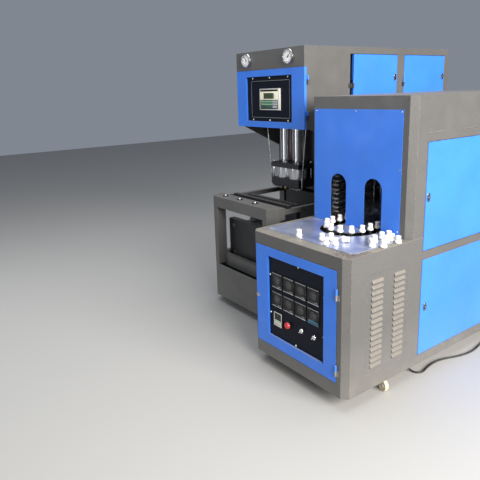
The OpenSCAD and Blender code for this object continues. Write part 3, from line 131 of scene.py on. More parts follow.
def part_of(tree, vector, axis):
    """One part of a vector: X, Y or Z."""
    node = add(tree, "ShaderNodeSeparateXYZ")
    feed(tree, node.inputs[0], vector)
    return node.outputs[axis]


def noise(tree, vector, scale, detail=3.0, roughness=0.55):
    """Noise on a coordinate; returns its value socket."""
    node = add(tree, "ShaderNodeTexNoise", in_Scale=scale, in_Detail=detail, in_Roughness=roughness)
    feed(tree, node.inputs["Vector"], vector)
    return node.outputs["Fac"]


def remap(tree, value, low, high, to_low=0.0, to_high=1.0):
    """A value stretched from one range to another, clamped."""
    node = add(tree, "ShaderNodeMapRange", clamp=True, in_From_Min=low, in_From_Max=high,
               in_To_Min=to_low, in_To_Max=to_high)
    feed(tree, node.inputs["Value"], value)
    return node.outputs["Result"]


def maths(tree, operation, a, b, kind="Math", result="Value"):
    """One node of arithmetic; a and b are sockets or plain values."""
    node = add(tree, "ShaderNode" + kind, operation=operation)
    for socket, value in zip(node.inputs, (a, b)):
        feed(tree, socket, value)
    return node.outputs[result]


def blend_colours(tree, factor, first, second, how="MIX"):
    """Two colours mixed by a factor; each is a socket or an RGB triple."""
    node = add(tree, "ShaderNodeMix", data_type="RGBA", blend_type=how)
    for index, value in ((0, factor), (6, first), (7, second)):
        feed(tree, node.inputs[index], value)
    return node.outputs[2]


def new_group(name, inputs, outputs):
    """An empty shader group, with the sockets that it takes and those that it puts out."""
    group = bpy.data.node_groups.new(name, "ShaderNodeTree")
    for way, sockets in (("INPUT", inputs), ("OUTPUT", outputs)):
        for label, kind in sockets.items():
            group.interface.new_socket(label, in_out=way, socket_type="NodeSocket" + kind)
    return group, group.nodes.new("NodeGroupInput").outputs, group.nodes.new("NodeGroupOutput").inputs


def close_group(group, out, results):
    """Links the results to what the group puts out."""
    for label, value in results.items():
        group.links.new(value, out[label])
    return group


def make_enamel_group():
    """Sprayed and baked enamel: fine speckle, soft clouds, chips on edges and orange-peel height."""
    group, given, out = new_group(
        "sprayed_enamel",
        {"Vector": "Vector", "Paint": "Color", "Fleck": "Color", "Fleck Amount": "Float",
         "Primer": "Color", "Wear": "Float"},
        {"Color": "Color", "Roughness": "Float", "Height": "Float", "Edge Normal": "Vector"})
    vector = given["Vector"]
    flecks = remap(group, noise(group, vector, 340.0, 2.0, 0.7), 0.44, 0.60)
    flecked = blend_colours(group, maths(group, "MULTIPLY", flecks, given["Fleck Amount"]),
                            given["Paint"], given["Fleck"])
    clouds = remap(group, noise(group, vector, 3.0, 4.0), 0.3, 0.7, 0.90, 1.07)
    clouded = blend_colours(group, 1.0, flecked, clouds, "MULTIPLY")
    rounded = add(group, "ShaderNodeBevel", samples=4, in_Radius=0.003).outputs["Normal"]
    facing = maths(group, "DOT_PRODUCT", rounded, surface_normal(group), "VectorMath")
    chips = remap(group, noise(group, vector, 60.0, 5.0, 0.7), 0.52, 0.60)
    chipped = maths(group, "MULTIPLY", remap(group, facing, 0.985, 0.90), chips)
    worn = maths(group, "MULTIPLY", chipped, given["Wear"])
    smear = noise(group, vector, 9.0, 5.0, 0.6)
    return close_group(group, out, {
        "Color": blend_colours(group, worn, clouded, given["Primer"]),
        "Roughness": remap(group, smear, 0.3, 0.7, 0.38, 0.56),
        "Height": noise(group, vector, 420.0, 2.0), "Edge Normal": rounded})


def make_dust_group():
    """Workshop dust: a film low down and on level faces, broken up by noise."""
    group, given, out = new_group(
        "workshop_dust", {"Vector": "Vector", "Color": "Color", "Low": "Float", "Level": "Float"},
        {"Color": "Color", "Film": "Float"})
    vector = given["Vector"]
    patches = remap(group, noise(group, vector, 11.0, 7.0, 0.72), 0.30, 0.80, 0.40, 1.0)
    near_floor = remap(group, part_of(group, vector, "Z"), 0.42, 0.02)
    lying = remap(group, part_of(group, surface_normal(group), "Z"), 0.75, 0.98)
    thickest = maths(group, "MAXIMUM", maths(group, "MULTIPLY", near_floor, given["Low"]),
                     maths(group, "MULTIPLY", lying, given["Level"]))
    film = maths(group, "MULTIPLY", thickest, patches)
    return close_group(group, out, {
        "Color": blend_colours(group, film, given["Color"], (0.42, 0.39, 0.34)), "Film": film})


def make_brushed_group():
    """Ground or rolled steel: fine lines along one direction, stains and small scratches."""
    group, given, out = new_group(
        "rolled_steel",
        {"Vector": "Vector", "Metal": "Color", "Stain": "Color", "Stretch": "Vector",
         "Stains": "Float", "Base Roughness": "Float"},
        {"Color": "Color", "Roughness": "Float", "Height": "Float"})
    vector = given["Vector"]
    stretched = maths(group, "MULTIPLY", vector, given["Stretch"], "VectorMath", "Vector")
    lines = noise(group, stretched, 6.0, 4.0, 0.6)
    blots = remap(group, noise(group, vector, 11.0, 6.0, 0.62), 0.48, 0.72)
    stain = maths(group, "MULTIPLY", blots, given["Stains"])
    lined = blend_colours(group, 1.0, given["Metal"], remap(group, lines, 0.3, 0.7, 0.86, 1.08),
                          "MULTIPLY")
    rough = maths(group, "ADD", given["Base Roughness"], remap(group, lines, 0.3, 0.7, -0.06, 0.08))
    return close_group(group, out, {
        "Color": blend_colours(group, stain, lined, given["Stain"]),
        "Roughness": maths(group, "ADD", rough, maths(group, "MULTIPLY", stain, 0.35)),
        "Height": lines})


def make_moulded_group():
    """Moulded plastic or rubber: fine grain, faint flow clouds and handling marks."""
    group, given, out = new_group(
        "moulded_grain",
        {"Vector": "Vector", "Plastic": "Color", "Mark": "Color", "Marks": "Float",
         "Base Roughness": "Float"},
        {"Color": "Color", "Roughness": "Float", "Height": "Float"})
    vector = given["Vector"]
    marks = remap(group, noise(group, vector, 40.0, 6.0, 0.65), 0.5, 0.72)
    amount = maths(group, "MULTIPLY", marks, given["Marks"])
    sweep = remap(group, noise(group, vector, 22.0, 4.0), 0.3, 0.7, -0.06, 0.08)
    return close_group(group, out, {
        "Color": blend_colours(group, amount, given["Plastic"], given["Mark"]),
        "Roughness": maths(group, "ADD", given["Base Roughness"], sweep),
        "Height": noise(group, vector, 1500.0, 2.0)})


ENAMEL = make_enamel_group()
DUST = make_dust_group()
STEEL = make_brushed_group()
GRAIN = make_moulded_group()


def place_group(tree, group, place, **values):
    """One instance of a shader group on a coordinate, its other inputs given by name."""
    node = add(tree, "ShaderNodeGroup", node_tree=group)
    feed(tree, node.inputs["Vector"], place)
    for name, value in values.items():
        feed(tree, node.inputs[name.replace("_", " ")], value)
    return node.outputs


def bump(tree, skin, height, strength, distance, normal=None):
    """Fine relief from a height, fed to the shader's normal, on top of a given normal."""
    node = add(tree, "ShaderNodeBump", in_Strength=strength, in_Distance=distance)
    feed(tree, node.inputs["Height"], height)
    if normal:
        feed(tree, node.inputs["Normal"], normal)
    feed(tree, skin["Normal"], node.outputs["Normal"])


def enamel(name, low=0.25, level=0.16, dulls=0.4, edges=True, **paint):
    """A baked enamel over sheet steel, with dust where the workshop leaves it. Returns the material,
    its tree, its shader's inputs, the coordinate, the enamel's roughness and the dusty colour."""
    material, tree, skin = new_material(name)
    place = object_place(tree)
    coat = place_group(tree, ENAMEL, place, **paint)
    dust = place_group(tree, DUST, place, Color=coat["Color"], Low=low, Level=level)
    feed(tree, skin["Base Color"], dust["Color"])
    film = maths(tree, "MULTIPLY", dust["Film"], dulls)
    feed(tree, skin["Roughness"], maths(tree, "ADD", coat["Roughness"], film))
    bump(tree, skin, coat["Height"], 0.12, 0.0004, coat["Edge Normal"] if edges else None)
    return material, tree, skin, place, coat["Roughness"], dust["Color"]


def surfaced(name, group, relief, metallic=0.0, specular=0.5, **values):
    """A material with one group's colour, roughness and relief. Returns the material, its tree, its
    shader's inputs, the coordinate and the group's colour."""
    material, tree, skin = new_material(name, metallic=metallic, specular=specular)
    place = object_place(tree)
    face = place_group(tree, group, place, **values)
    feed(tree, skin["Base Color"], face["Color"])
    feed(tree, skin["Roughness"], face["Roughness"])
    bump(tree, skin, face["Height"], relief, 0.0003)
    return material, tree, skin, place, face["Color"]


def metal(name, colour, stain=(0.3, 0.27, 0.24), stretch=(4, 90, 90), stains=0.25, roughness=0.3,
          relief=0.05, metallic=1.0):
    """A bare or oiled metal with its grinding lines."""
    return surfaced(name, STEEL, relief, metallic, Metal=colour, Stain=stain, Stretch=stretch,
                    Stains=stains, Base_Roughness=roughness)[0]


def plastic(name, colour, mark=(0.3, 0.28, 0.25), marks=0.2, roughness=0.4, coat=0.0, specular=0.5):
    """A moulded plastic, rubber or lacquered fitting."""
    made = surfaced(name, GRAIN, 0.08, specular=specular, Plastic=colour, Mark=mark, Marks=marks,
                    Base_Roughness=roughness)
    made[2]["Coat Weight"].default_value = coat
    return made[0]


def make_table_steel():
    """The loading table: bluish rolled plate with long scratches and dull rubbed patches."""
    material, tree, skin, place, colour = surfaced(
        "table_plate_steel", STEEL, 0.06, 0.75, Metal=(0.40, 0.45, 0.62), Stain=(0.25, 0.29, 0.42),
        Stretch=(70, 3, 60), Stains=0.8, Base_Roughness=0.34)
    patches = remap(tree, noise(tree, place, 7.0, 6.0, 0.65), 0.42, 0.62)
    rubbed = maths(tree, "MULTIPLY", patches, 0.75)
    feed(tree, skin["Base Color"], blend_colours(tree, rubbed, colour, (0.55, 0.57, 0.66)))
    return material


def make_hinge_zinc():
    """Hinge halves and pins: dull zinc on the heater's front door, painted over on the other doors."""
    material, tree, skin, place, colour = surfaced(
        "hinge_zinc", STEEL, 0.1, 0.7, Metal=(0.34, 0.33, 0.31), Stain=(0.3, 0.27, 0.24),
        Stretch=(30, 30, 30), Stains=0.4, Base_Roughness=0.44)
    painted = remap(tree, part_of(tree, place, "Y"), HEATER[1] + 0.05, HEATER[1] + 0.08)
    feed(tree, skin["Base Color"], blend_colours(tree, painted, colour, (0.062, 0.061, 0.060)))
    return material


GREY = {"Paint": (0.105, 0.102, 0.098), "Fleck": (0.046, 0.045, 0.044), "Fleck_Amount": 0.55}
PALE_PRIMER = (0.46, 0.42, 0.36)
RIM_Z = 0.846


def make_worn_grey():
    """The heater cabinet's enamel: as the rest of the casings, but rubbed through on the table's rim,
    with rust where the sheet shows."""
    material, tree, skin, place, rough, colour = enamel(
        "grey_enamel_worn_rim", level=0.08, dulls=0.0, Wear=0.7, Primer=PALE_PRIMER, **GREY)
    rim = remap(tree, part_of(tree, place, "Z"), RIM_Z - 0.0035, RIM_Z - 0.0005)
    blotch = remap(tree, noise(tree, place, 16.0, 6.0, 0.65), 0.30, 0.62, 0.35, 1.0)
    rubbed = maths(tree, "MULTIPLY", rim, blotch)
    bare = blend_colours(tree, rubbed, colour, (0.205, 0.186, 0.150))
    away = maths(tree, "DISTANCE", place, on_heater(700, 70, 846), "VectorMath")
    spots = remap(tree, noise(tree, place, 70.0, 4.0, 0.7), 0.47, 0.55)
    near = maths(tree, "MULTIPLY", remap(tree, away, 0.16, 0.01), spots)
    rust = maths(tree, "MULTIPLY", near, rim)
    feed(tree, skin["Base Color"], blend_colours(tree, rust, bare, (0.075, 0.040, 0.020)))
    feed(tree, skin["Roughness"], maths(tree, "ADD", rough, maths(tree, "MULTIPLY", rubbed, 0.12)))
    return material


def make_louvre_enamel():
    """The louvre sheets' enamel: as the casings, with the hoods that lean outwards painted paler: painted
    light from above, with some pale dust.
    """
    material, tree, skin, place, _, colour = enamel(
        "louvre_enamel", level=0.08, dulls=0.0, edges=False, Wear=0.1, Primer=PALE_PRIMER, **GREY)
    # Painted light: hood faces that tilt upwards are made paler, as light from above shows them, broken into
    # dusty patches.
    leaning = remap(tree, part_of(tree, surface_normal(tree), "Z"), 0.03, 0.16)
    patches = remap(tree, noise(tree, place, 40.0, 4.0, 0.6), 0.25, 0.65, 0.55, 1.0)
    hood_light_and_dust = maths(tree, "MULTIPLY", leaning, patches)
    feed(tree, skin["Base Color"], blend_colours(tree, hood_light_and_dust, colour, (0.172, 0.155, 0.134)))
    return material


def make_glow_face(name, colour, roughness=0.15, emission=0.3, coat=0.1):
    """A small display, or the frame round one: tinted, glossy, with a faint uneven glow; on a display it is
    its back light, on a frame it is painted light.
    """
    material, tree, skin = new_material(name, roughness=roughness)
    patch = remap(tree, noise(tree, object_place(tree), 90.0), 0.3, 0.7)
    mixed = blend_colours(tree, patch, colour, tuple(0.7 * c for c in colour))
    feed(tree, skin["Base Color"], mixed)
    feed(tree, skin["Emission Color"], mixed)
    skin["Emission Strength"].default_value = emission
    skin["Coat Weight"].default_value = coat
    return material


def make_glass(name, roughness=0.02):
    """Clear glass over a dial or round a lamp; it throws no shadow on what lies behind it."""
    material, tree, skin = new_material(name)
    skin["Transmission Weight"].default_value = 1.0
    skin["IOR"].default_value = 1.45
    smear = noise(tree, object_place(tree), 30.0, 4.0)
    feed(tree, skin["Roughness"], remap(tree, smear, 0.4, 0.8, roughness, roughness + 0.08))
    ray = add(tree, "ShaderNodeLightPath")
    feed(tree, skin["Alpha"], maths(tree, "SUBTRACT", 1.0, ray.outputs["Is Shadow Ray"]))
    return material


# Paints and sheets
grey_enamel = enamel("grey_hammered_enamel", Wear=0.6, Primer=(0.42, 0.38, 0.33), **GREY)[0]
blue_enamel = enamel("blue_enamel", low=0.10, level=0.6, Paint=(0.034, 0.188, 0.750),
                     Fleck=(0.020, 0.132, 0.570), Fleck_Amount=0.35, Wear=0.35,
                     Primer=(0.30, 0.42, 0.62))[0]
black_enamel = enamel("black_enamel", level=0.12, Paint=(0.013, 0.013, 0.016),
                      Fleck=(0.028, 0.028, 0.029), Fleck_Amount=0.5, Wear=0.5,
                      Primer=(0.20, 0.19, 0.18))[0]
worn_grey = make_worn_grey()
louvre_enamel = make_louvre_enamel()
table_steel = make_table_steel()

# Metals
barrel_steel = metal("barrel_steel", (0.92, 0.92, 0.93), stains=0.08, roughness=0.10, metallic=0.80)
dark_steel = metal("dark_steel_tube", (0.42, 0.42, 0.43), stains=0.2, roughness=0.22)
lock_steel = metal("lock_steel", (0.24, 0.24, 0.25), stains=0.3, roughness=0.2)
ground_steel = metal("ground_steel", (0.56, 0.56, 0.57), roughness=0.27)
plated_steel = metal("plated_steel", (0.66, 0.66, 0.68), stains=0.12, roughness=0.16,
                     stretch=(20, 20, 60), relief=0.02)
chrome = metal("polished_chrome", (0.80, 0.80, 0.81), stains=0.05, roughness=0.09,
               stretch=(14, 14, 2), relief=0.01)
oiled_steel = metal("oiled_chain_steel", (0.16, 0.15, 0.14), stain=(0.05, 0.04, 0.035), stains=0.6,
                    roughness=0.38)
cast_aluminium = metal("cast_aluminium", (0.46, 0.47, 0.48), stain=(0.25, 0.24, 0.22),
                       stretch=(30, 30, 30), stains=0.35, roughness=0.42, relief=0.2)
reflector = metal("reflector_sheet", (0.70, 0.71, 0.72), stain=(0.35, 0.30, 0.26), stretch=(60, 3, 60),
                  stains=0.3, roughness=0.22)
brass = metal("nozzle_brass", (0.66, 0.46, 0.20), stain=(0.30, 0.20, 0.08), stains=0.4,
              stretch=(60, 60, 4), roughness=0.24)
hinge_zinc = make_hinge_zinc()

# Plastics, rubber and glass
panel_black = plastic("panel_black", (0.003, 0.005, 0.012), mark=(0.010, 0.013, 0.024), marks=0.3,
                      specular=0.12)
regulator_face = plastic("regulator_face", (0.012, 0.012, 0.014), mark=(0.034, 0.035, 0.038),
                         marks=0.8, roughness=0.5, specular=0.2)
regulator_knob = plastic("regulator_knob", (0.046, 0.046, 0.045), mark=(0.095, 0.094, 0.092),
                         marks=0.9, roughness=0.45, specular=0.2)
module_black = plastic("module_black", (0.009, 0.009, 0.011), marks=0.15, roughness=0.38, specular=0.25)
white_nylon = plastic("white_nylon", (0.82, 0.81, 0.78), mark=(0.62, 0.58, 0.50), marks=0.25,
                      roughness=0.36)
cream_wheel = plastic("cream_caster_plastic", (0.66, 0.58, 0.40), mark=(0.22, 0.18, 0.13), marks=0.7,
                      roughness=0.45)
pale_bezel = plastic("pale_bezel", (0.44, 0.46, 0.43), mark=(0.30, 0.30, 0.27), marks=0.25)
cream_bezel = plastic("cream_bezel", (0.78, 0.77, 0.69), mark=(0.40, 0.37, 0.28), marks=0.25,
                      roughness=0.38)
red_plastic = plastic("red_button_plastic", (0.60, 0.032, 0.042), mark=(0.35, 0.02, 0.02),
                      roughness=0.26, coat=0.3, specular=0.25)
red_hose = plastic("red_air_hose", (0.42, 0.016, 0.014), mark=(0.20, 0.02, 0.02), marks=0.4,
                   roughness=0.33, coat=0.2)
black_rubber = plastic("black_cable_rubber", (0.016, 0.016, 0.017), mark=(0.09, 0.085, 0.08),
                       marks=0.5, roughness=0.55)
ceramic = plastic("lamp_end_ceramic", (0.70, 0.69, 0.66), mark=(0.42, 0.38, 0.32), marks=0.3,
                  roughness=0.35)
key_mark = plastic("key_mark_green", (0.30, 0.46, 0.28))
key_green = plastic("key_green", (0.050, 0.22, 0.11))
key_dark = plastic("key_dark_green", (0.018, 0.06, 0.045))
key_grey = plastic("key_grey", (0.36, 0.38, 0.40))
print_white = plastic("print_white", (0.30, 0.30, 0.29), roughness=0.5)
print_pale = plastic("print_pale", (0.46, 0.50, 0.52), roughness=0.5)
print_grey = plastic("print_grey", (0.085, 0.085, 0.085), roughness=0.5)
print_blue = plastic("print_blue", (0.05, 0.24, 0.36))
white_zinc = plastic("white_zinc", (0.80, 0.80, 0.78), marks=0.1, roughness=0.3, specular=0.8)
dial_white = plastic("dial_white", (0.93, 0.93, 0.91), mark=(0.72, 0.70, 0.64), roughness=0.45)
dial_black = plastic("dial_print_black", (0.015, 0.015, 0.015), marks=0.1, roughness=0.5)
display_dark = make_glow_face("display_dark", (0.004, 0.010, 0.008), roughness=0.35, emission=0.0,
                              coat=0.0)
display_green = make_glow_face("display_green", (0.020, 0.036, 0.016))
display_digits = make_glow_face("display_digits", (0.042, 0.072, 0.032))
# The cream frame round the control unit's display is given a glow: painted light, as no lamp is behind it.
display_rim_painted_glow = make_glow_face("display_rim_painted_glow", (0.86, 0.82, 0.63), roughness=0.4, emission=0.22, coat=0.5)
dial_glass = make_glass("dial_glass")
quartz = make_glass("lamp_quartz", roughness=0.05)

CAD_FINISH = {
    grey_enamel: "blower_frame blower_casing oven_casing",
    louvre_enamel: "louvre_panels",
    worn_grey: "heater_cabinet",
    blue_enamel: "head_door tall_door_front tall_door_rear heater_door oven_door_upper "
                 "oven_door_lower arch_panel",
    panel_black: "head_panel heater_panel",
    module_black: "panel_instruments",
    cream_bezel: "blow_controller",
    cream_wheel: "wheel_front_left wheel_front_right wheel_rear_left wheel_rear_right",
    white_nylon: "preform_seats",
    plated_steel: "pressure_gauges push_button_left push_button_middle push_button_right "
                  "caster_fork_left caster_fork_right",
    dark_steel: "air_lines",
    chrome: "selector_left selector_right",
    barrel_steel: "cylinder_barrels",
    hinge_zinc: "hinge_pins",
    red_plastic: "stop_button",
    dial_black: "gauge_needle_left gauge_needle_right",
    black_enamel: "levelling_feet fixed_plates front_platen rear_platen station_plates",
    ground_steel: "tie_bars front_crank front_link rear_crank rear_link lift_beam stretch_rod_left "
                  "stretch_rod_right",
    table_steel: "table_plate",
    oiled_steel: "conveyor_chain conveyor_drive",
    reflector: "lamp_banks",
    cast_aluminium: "clamp_cylinder valve_manifold",
    brass: "seal_piston_left seal_piston_right",
    black_rubber: "cord_gland mains_cord cord_coil mains_plug",
}


def finish_cad_nodes():
    """Each solid of the frame gets its own finish."""
    for material, names in CAD_FINISH.items():
        for name in names.split():
            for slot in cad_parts[name].material_slots:
                slot.material = material


finish_cad_nodes()


# Cord
CORD_D = 11.0
CORD_ROUTE = [(600, 600, 54), (622, 600, 54), (646, 604, 50), (668, 608, 38), (690, 613, 22),
              (714, 619, 10), (738, 628, 6), (752.5, 645, 6), (757, 668, 6), (751, 700, 6),
              (743, 740, 6), (738, 785, 6), (738, 832, 6), (746, 878, 6), (760, 922, 6),
              (776, 966, 6), (790, 1010, 6), (799, 1056, 6), (803, 1104, 6), (800, 1152, 6),
              (793, 1200, 6), (785, 1248, 6), (778, 1296, 6), (774, 1344, 6)]
CORD_TAIL = [(783.5, 1406, 18.5), (783.5, 1420, 23.0), (784, 1434, 27.0), (784, 1446, 28.0)]
COIL_AT = (846, 1390)
COIL_START_R = 73.5
COIL_TOP_R = 46.0
COIL_END_R = 62.5
LAYER_Z = (6.0, 17.4)
# Degrees from the coil's start: a step, the end of the lower layer, of the climb and of the winding
COIL_STEP, LOWER_END, CLIMB_END, WINDING_END = 15, 720, 900, 1440


def coil_points():
    """The winding: two turns inwards on the floor, half a turn up, and outwards on the first layer."""
    points = []
    for turned in range(0, WINDING_END + COIL_STEP, COIL_STEP):
        if turned <= LOWER_END:
            radius, height = COIL_START_R - CORD_D * turned / 360, LAYER_Z[0]
        elif turned <= CLIMB_END:
            climb = (turned - LOWER_END) / (CLIMB_END - LOWER_END)
            radius = COIL_START_R - CORD_D * 2 - CORD_D / 2 * climb
            height = LAYER_Z[0] + (LAYER_Z[1] - LAYER_Z[0]) * climb
        else:
            out = (turned - CLIMB_END) / (WINDING_END - CLIMB_END)
            radius, height = COIL_TOP_R + (COIL_END_R - COIL_TOP_R) * out, LAYER_Z[1]
        angle = math.radians(180 - turned)
        points.append((COIL_AT[0] + radius * math.cos(angle), COIL_AT[1] + radius * math.sin(angle),
                       height))
    return points


def make_cord():
    """The heater's mains cord, from its gland across the floor into the coil, and on to the plug."""
    points = [on_heater(*p) for p in CORD_ROUTE + coil_points() + CORD_TAIL]
    curve = bpy.data.curves.new("mains_lead", "CURVE")
    curve.dimensions = "3D"
    curve.bevel_depth = CORD_D / 2 * MM
    curve.bevel_resolution = 3
    curve.resolution_u = 2
    curve.use_fill_caps = True
    spline = curve.splines.new("BEZIER")
    spline.bezier_points.add(len(points) - 1)
    for knot, place in zip(spline.bezier_points, points):
        knot.co = place
        knot.handle_left_type = knot.handle_right_type = "AUTO"
    cord = bpy.data.objects.new("mains_lead", curve)
    bpy.context.scene.collection.objects.link(cord)
    curve.materials.append(black_rubber)
    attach(cord, "machine")
    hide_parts("mains_cord", "cord_coil")


make_cord()


# Making of pieces
TURNS = {"x": Matrix.Rotation(math.pi / 2, 4, "Y"), "y": Matrix.Rotation(-math.pi / 2, 4, "X"),
         "-y": Matrix.Rotation(math.pi / 2, 4, "X"), "z": Matrix.Identity(4)}


def about(middle, half):
    """The pair of bounds at this distance from a middle."""
    return middle - half, middle + half


def round_from(x, z, radius, degrees):
    """A point at this radius from another, turned clockwise from the top."""
    angle = math.radians(degrees)
    return x + radius * math.sin(angle), z + radius * math.cos(angle)


class Piece:
    """A piece built up from bmesh shapes, in the millimetres of the unit that it belongs to."""

    def __init__(self, name, unit, body, slot, *materials):
        self.name, self.unit, self.body, self.slot = name, unit, body, slot
        self.materials, self.sheet = materials, bmesh.new()

    def keep(self, shape, matrix, finish, bevel):
        """Rounds a shape's sharp edges, moves it to its place and adds it to the piece."""
        if bevel:
            sharp = [e for e in shape.edges if e.calc_face_angle(0) > 0.6]
            bmesh.ops.bevel(shape, geom=sharp, offset=bevel, offset_type="OFFSET", segments=2,
                            profile=0.5, affect="EDGES", material=-1, clamp_overlap=True)
        bmesh.ops.transform(shape, matrix=matrix, verts=shape.verts)
        for face in shape.faces:
            face.material_index = finish
            face.smooth = True
        for edge in shape.edges:
            edge.smooth = edge.calc_face_angle(0) < 0.55
        scratch = bpy.data.meshes.new("scratch")
        shape.to_mesh(scratch)
        shape.free()
        self.sheet.from_mesh(scratch)
        bpy.data.meshes.remove(scratch)

    def block(self, x, y, z, finish=0, bevel=0.4, turn=0.0):
        """A block between pairs of x, y and z, its edges rounded; turn leans it about its own Y."""
        shape = bmesh.new()
        bmesh.ops.create_cube(shape, size=1.0)
        size = Vector((x[1] - x[0], y[1] - y[0], z[1] - z[0]))
        bmesh.ops.scale(shape, vec=size, verts=shape.verts)
        centre = Vector((x[0] + x[1], y[0] + y[1], z[0] + z[1])) / 2
        lean = Matrix.Rotation(math.radians(turn), 4, "Y")
        self.keep(shape, Matrix.Translation(centre) @ lean, finish, min(bevel, min(size) * 0.3))

    def plates(self, corner, y, finish, bevel, rows):
        """Blocks of one depth; each row is left, right, low and high from the corner's x and z."""
        for left, right, low, high in rows:
            self.block((corner[0] + left, corner[0] + right), y, (corner[1] + low, corner[1] + high),
                       finish, bevel)

    def rod(self, at, axis, d, length, finish=0, bevel=0.3, sides=32):
        """A round bar from a point along an axis."""
        shape = bmesh.new()
        bmesh.ops.create_cone(shape, cap_ends=True, segments=sides, radius1=d / 2, radius2=d / 2,
                              depth=length)
        bmesh.ops.translate(shape, vec=(0, 0, length / 2), verts=shape.verts)
        self.keep(shape, Matrix.Translation(at) @ TURNS[axis], finish, bevel)

    def nut(self, at, axis, d, height, finish=0, bevel=0.8):
        """A hexagon nut; d is its width over the corners."""
        self.rod(at, axis, d, height, finish, bevel, 6)

    def lathe(self, at, axis, profile, finish=0, steps=48):
        """A profile of radius and height, turned about an axis through a point."""
        shape = bmesh.new()
        line = [shape.verts.new((r, 0, h)) for r, h in profile]
        edges = [shape.edges.new(pair) for pair in zip(line, line[1:])]
        bmesh.ops.spin(shape, geom=line + edges, cent=(0, 0, 0), axis=(0, 0, 1), dvec=(0, 0, 0),
                       angle=math.tau, steps=steps, use_merge=True, use_duplicate=False)
        bmesh.ops.remove_doubles(shape, verts=shape.verts, dist=0.001)
        bmesh.ops.recalc_face_normals(shape, faces=shape.faces)
        self.keep(shape, Matrix.Translation(at) @ TURNS[axis], finish, 0)

    def collar(self, at, axis, outer, side, top, height, bore):
        """A collar: its radius, its side's height, its top's radius and height, and its bore's radius."""
        self.lathe(at, axis, [(outer, 0), (outer, side), (top, height), (bore, height), (bore, 0)])

    def ring(self, at, axis, d, wire, finish=0, steps=56):
        """A round ring of round section; d is its middle diameter."""
        circle = [(d / 2 + wire / 2 * math.cos(a), wire / 2 * math.sin(a))
                  for a in (math.tau * i / 12 for i in range(13))]
        self.lathe(at, axis, circle, finish, steps)

    def screw(self, at, axis, d, finish=0):
        """A pan-head screw with its recess."""
        r = d / 2
        self.lathe(at, axis, [(r, 0), (r, r * 0.25), (r * 0.85, r * 0.5), (r * 0.4, r * 0.62),
                              (r * 0.36, r * 0.25), (0, r * 0.2)], finish, 20)

    def cap_screw(self, at, axis, d, finish=0):
        """A cap screw with its socket."""
        r = d / 2
        self.lathe(at, axis, [(r, 0), (r, r * 1.05), (r * 0.9, r * 1.15), (r * 0.52, r * 1.15),
                              (r * 0.5, r * 0.4), (0, r * 0.38)], finish, 24)

    def done(self, *replaced):
        """Makes the object, puts it on its body and hides the solids that it replaces."""
        bmesh.ops.scale(self.sheet, vec=(MM, MM, MM), verts=self.sheet.verts)
        bmesh.ops.translate(self.sheet, vec=self.unit, verts=self.sheet.verts)
        mesh = bpy.data.meshes.new(self.name)
        self.sheet.to_mesh(mesh)
        self.sheet.free()
        for material in self.materials:
            mesh.materials.append(material)
        made = bpy.data.objects.new(self.name, mesh)
        bpy.context.scene.collection.objects.link(made)
        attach(made, self.body)
        if replaced:
            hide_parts(*replaced)


def front_screws(name, unit, body, material, y, d, places):
    """Screws of one size in a face that looks to the front."""
    piece = Piece(name, unit, body, "bright_steel", material)
    for x, z in places:
        piece.screw((x, y, z), "-y", d)
    piece.done()


# Heater fittings
PANEL_Y = 13.0
PANEL_SCREWS = ((394, 709), (372, 234), (152, 604), (153, 367), (593, 598), (592, 372))
MODULE_X = (170, 270, 370, 470)
MODULE_Z = (417, 533)
LAST_MODULE = (470, 417)
LAST_MARKS = (9, 12, 7, 11, 8, 10, 6, 9, 5)
METER_AT = (190, 300)
STOP_AT = (315, 340)
LEVER_AT = ((424, 345), (524, 345))
LEVER_LEAN = 40
ARCH_Y = 475
ARCH_SCREWS = ((55, 1521), (368, 1522), (681, 1521), (55, 1201), (681, 1218), (55, 880), (681, 884))


def lamp_regulators():
    """Faces of the eight lamp regulators: bezel lips, scale, knob with its pointer, and printed marks."""
    piece = Piece("lamp_regulator_faces", HEATER, "heater_door", "black_plastic", regulator_face,
                  regulator_knob, print_grey, print_white, print_blue, print_pale)
    for x, z in ((x, z) for x in MODULE_X for z in MODULE_Z):
        last = (x, z) == LAST_MODULE
        piece.plates((x, z), (9.2, 10), 0, 0.2, [(6, 84, 11, 83)])
        piece.plates((x, z), (6.6, 8.1), 3, 0.3, [(4, 86, 86, 89)])
        piece.plates((x, z), (6.6, 8.1), 4 if last else 5, 0.3, [(4, 86, 3, 6)])
        for step in range(13):
            tick_x, tick_z = round_from(x + 45, z + 49, 31, -120 + step * 20)
            half = 1.1 if step % 3 == 0 else 0.6
            piece.block(about(tick_x, half), (8.9, 9.4), about(tick_z, half), 2, 0.1)
        piece.lathe((x + 45, 9.2, z + 49), "-y", [(25, 0), (24.4, 1), (23, 1.3), (14, 1.6),
                                                  (12.5, 5), (11.5, 5.6), (0, 5.6)], 1, 40)
        piece.plates((x, z), (3.1, 4), 2, 0.1, [(44.4, 45.6, 51, 60)])
        for mark in range(9):
            if last:
                left, width, rise, finish = 9 + mark * 8.2, 6.6, LAST_MARKS[mark], 4
            else:
                left, width, rise = 26 + mark * 6.2, 4, 5 if mark % 3 else 2.5
                finish = 5 if mark in (5, 7) else 2
            piece.plates((x, z), (8.8, 9.4), finish, 0.1, [(left, left + width, 11.5, 11.5 + rise)])
    piece.done()


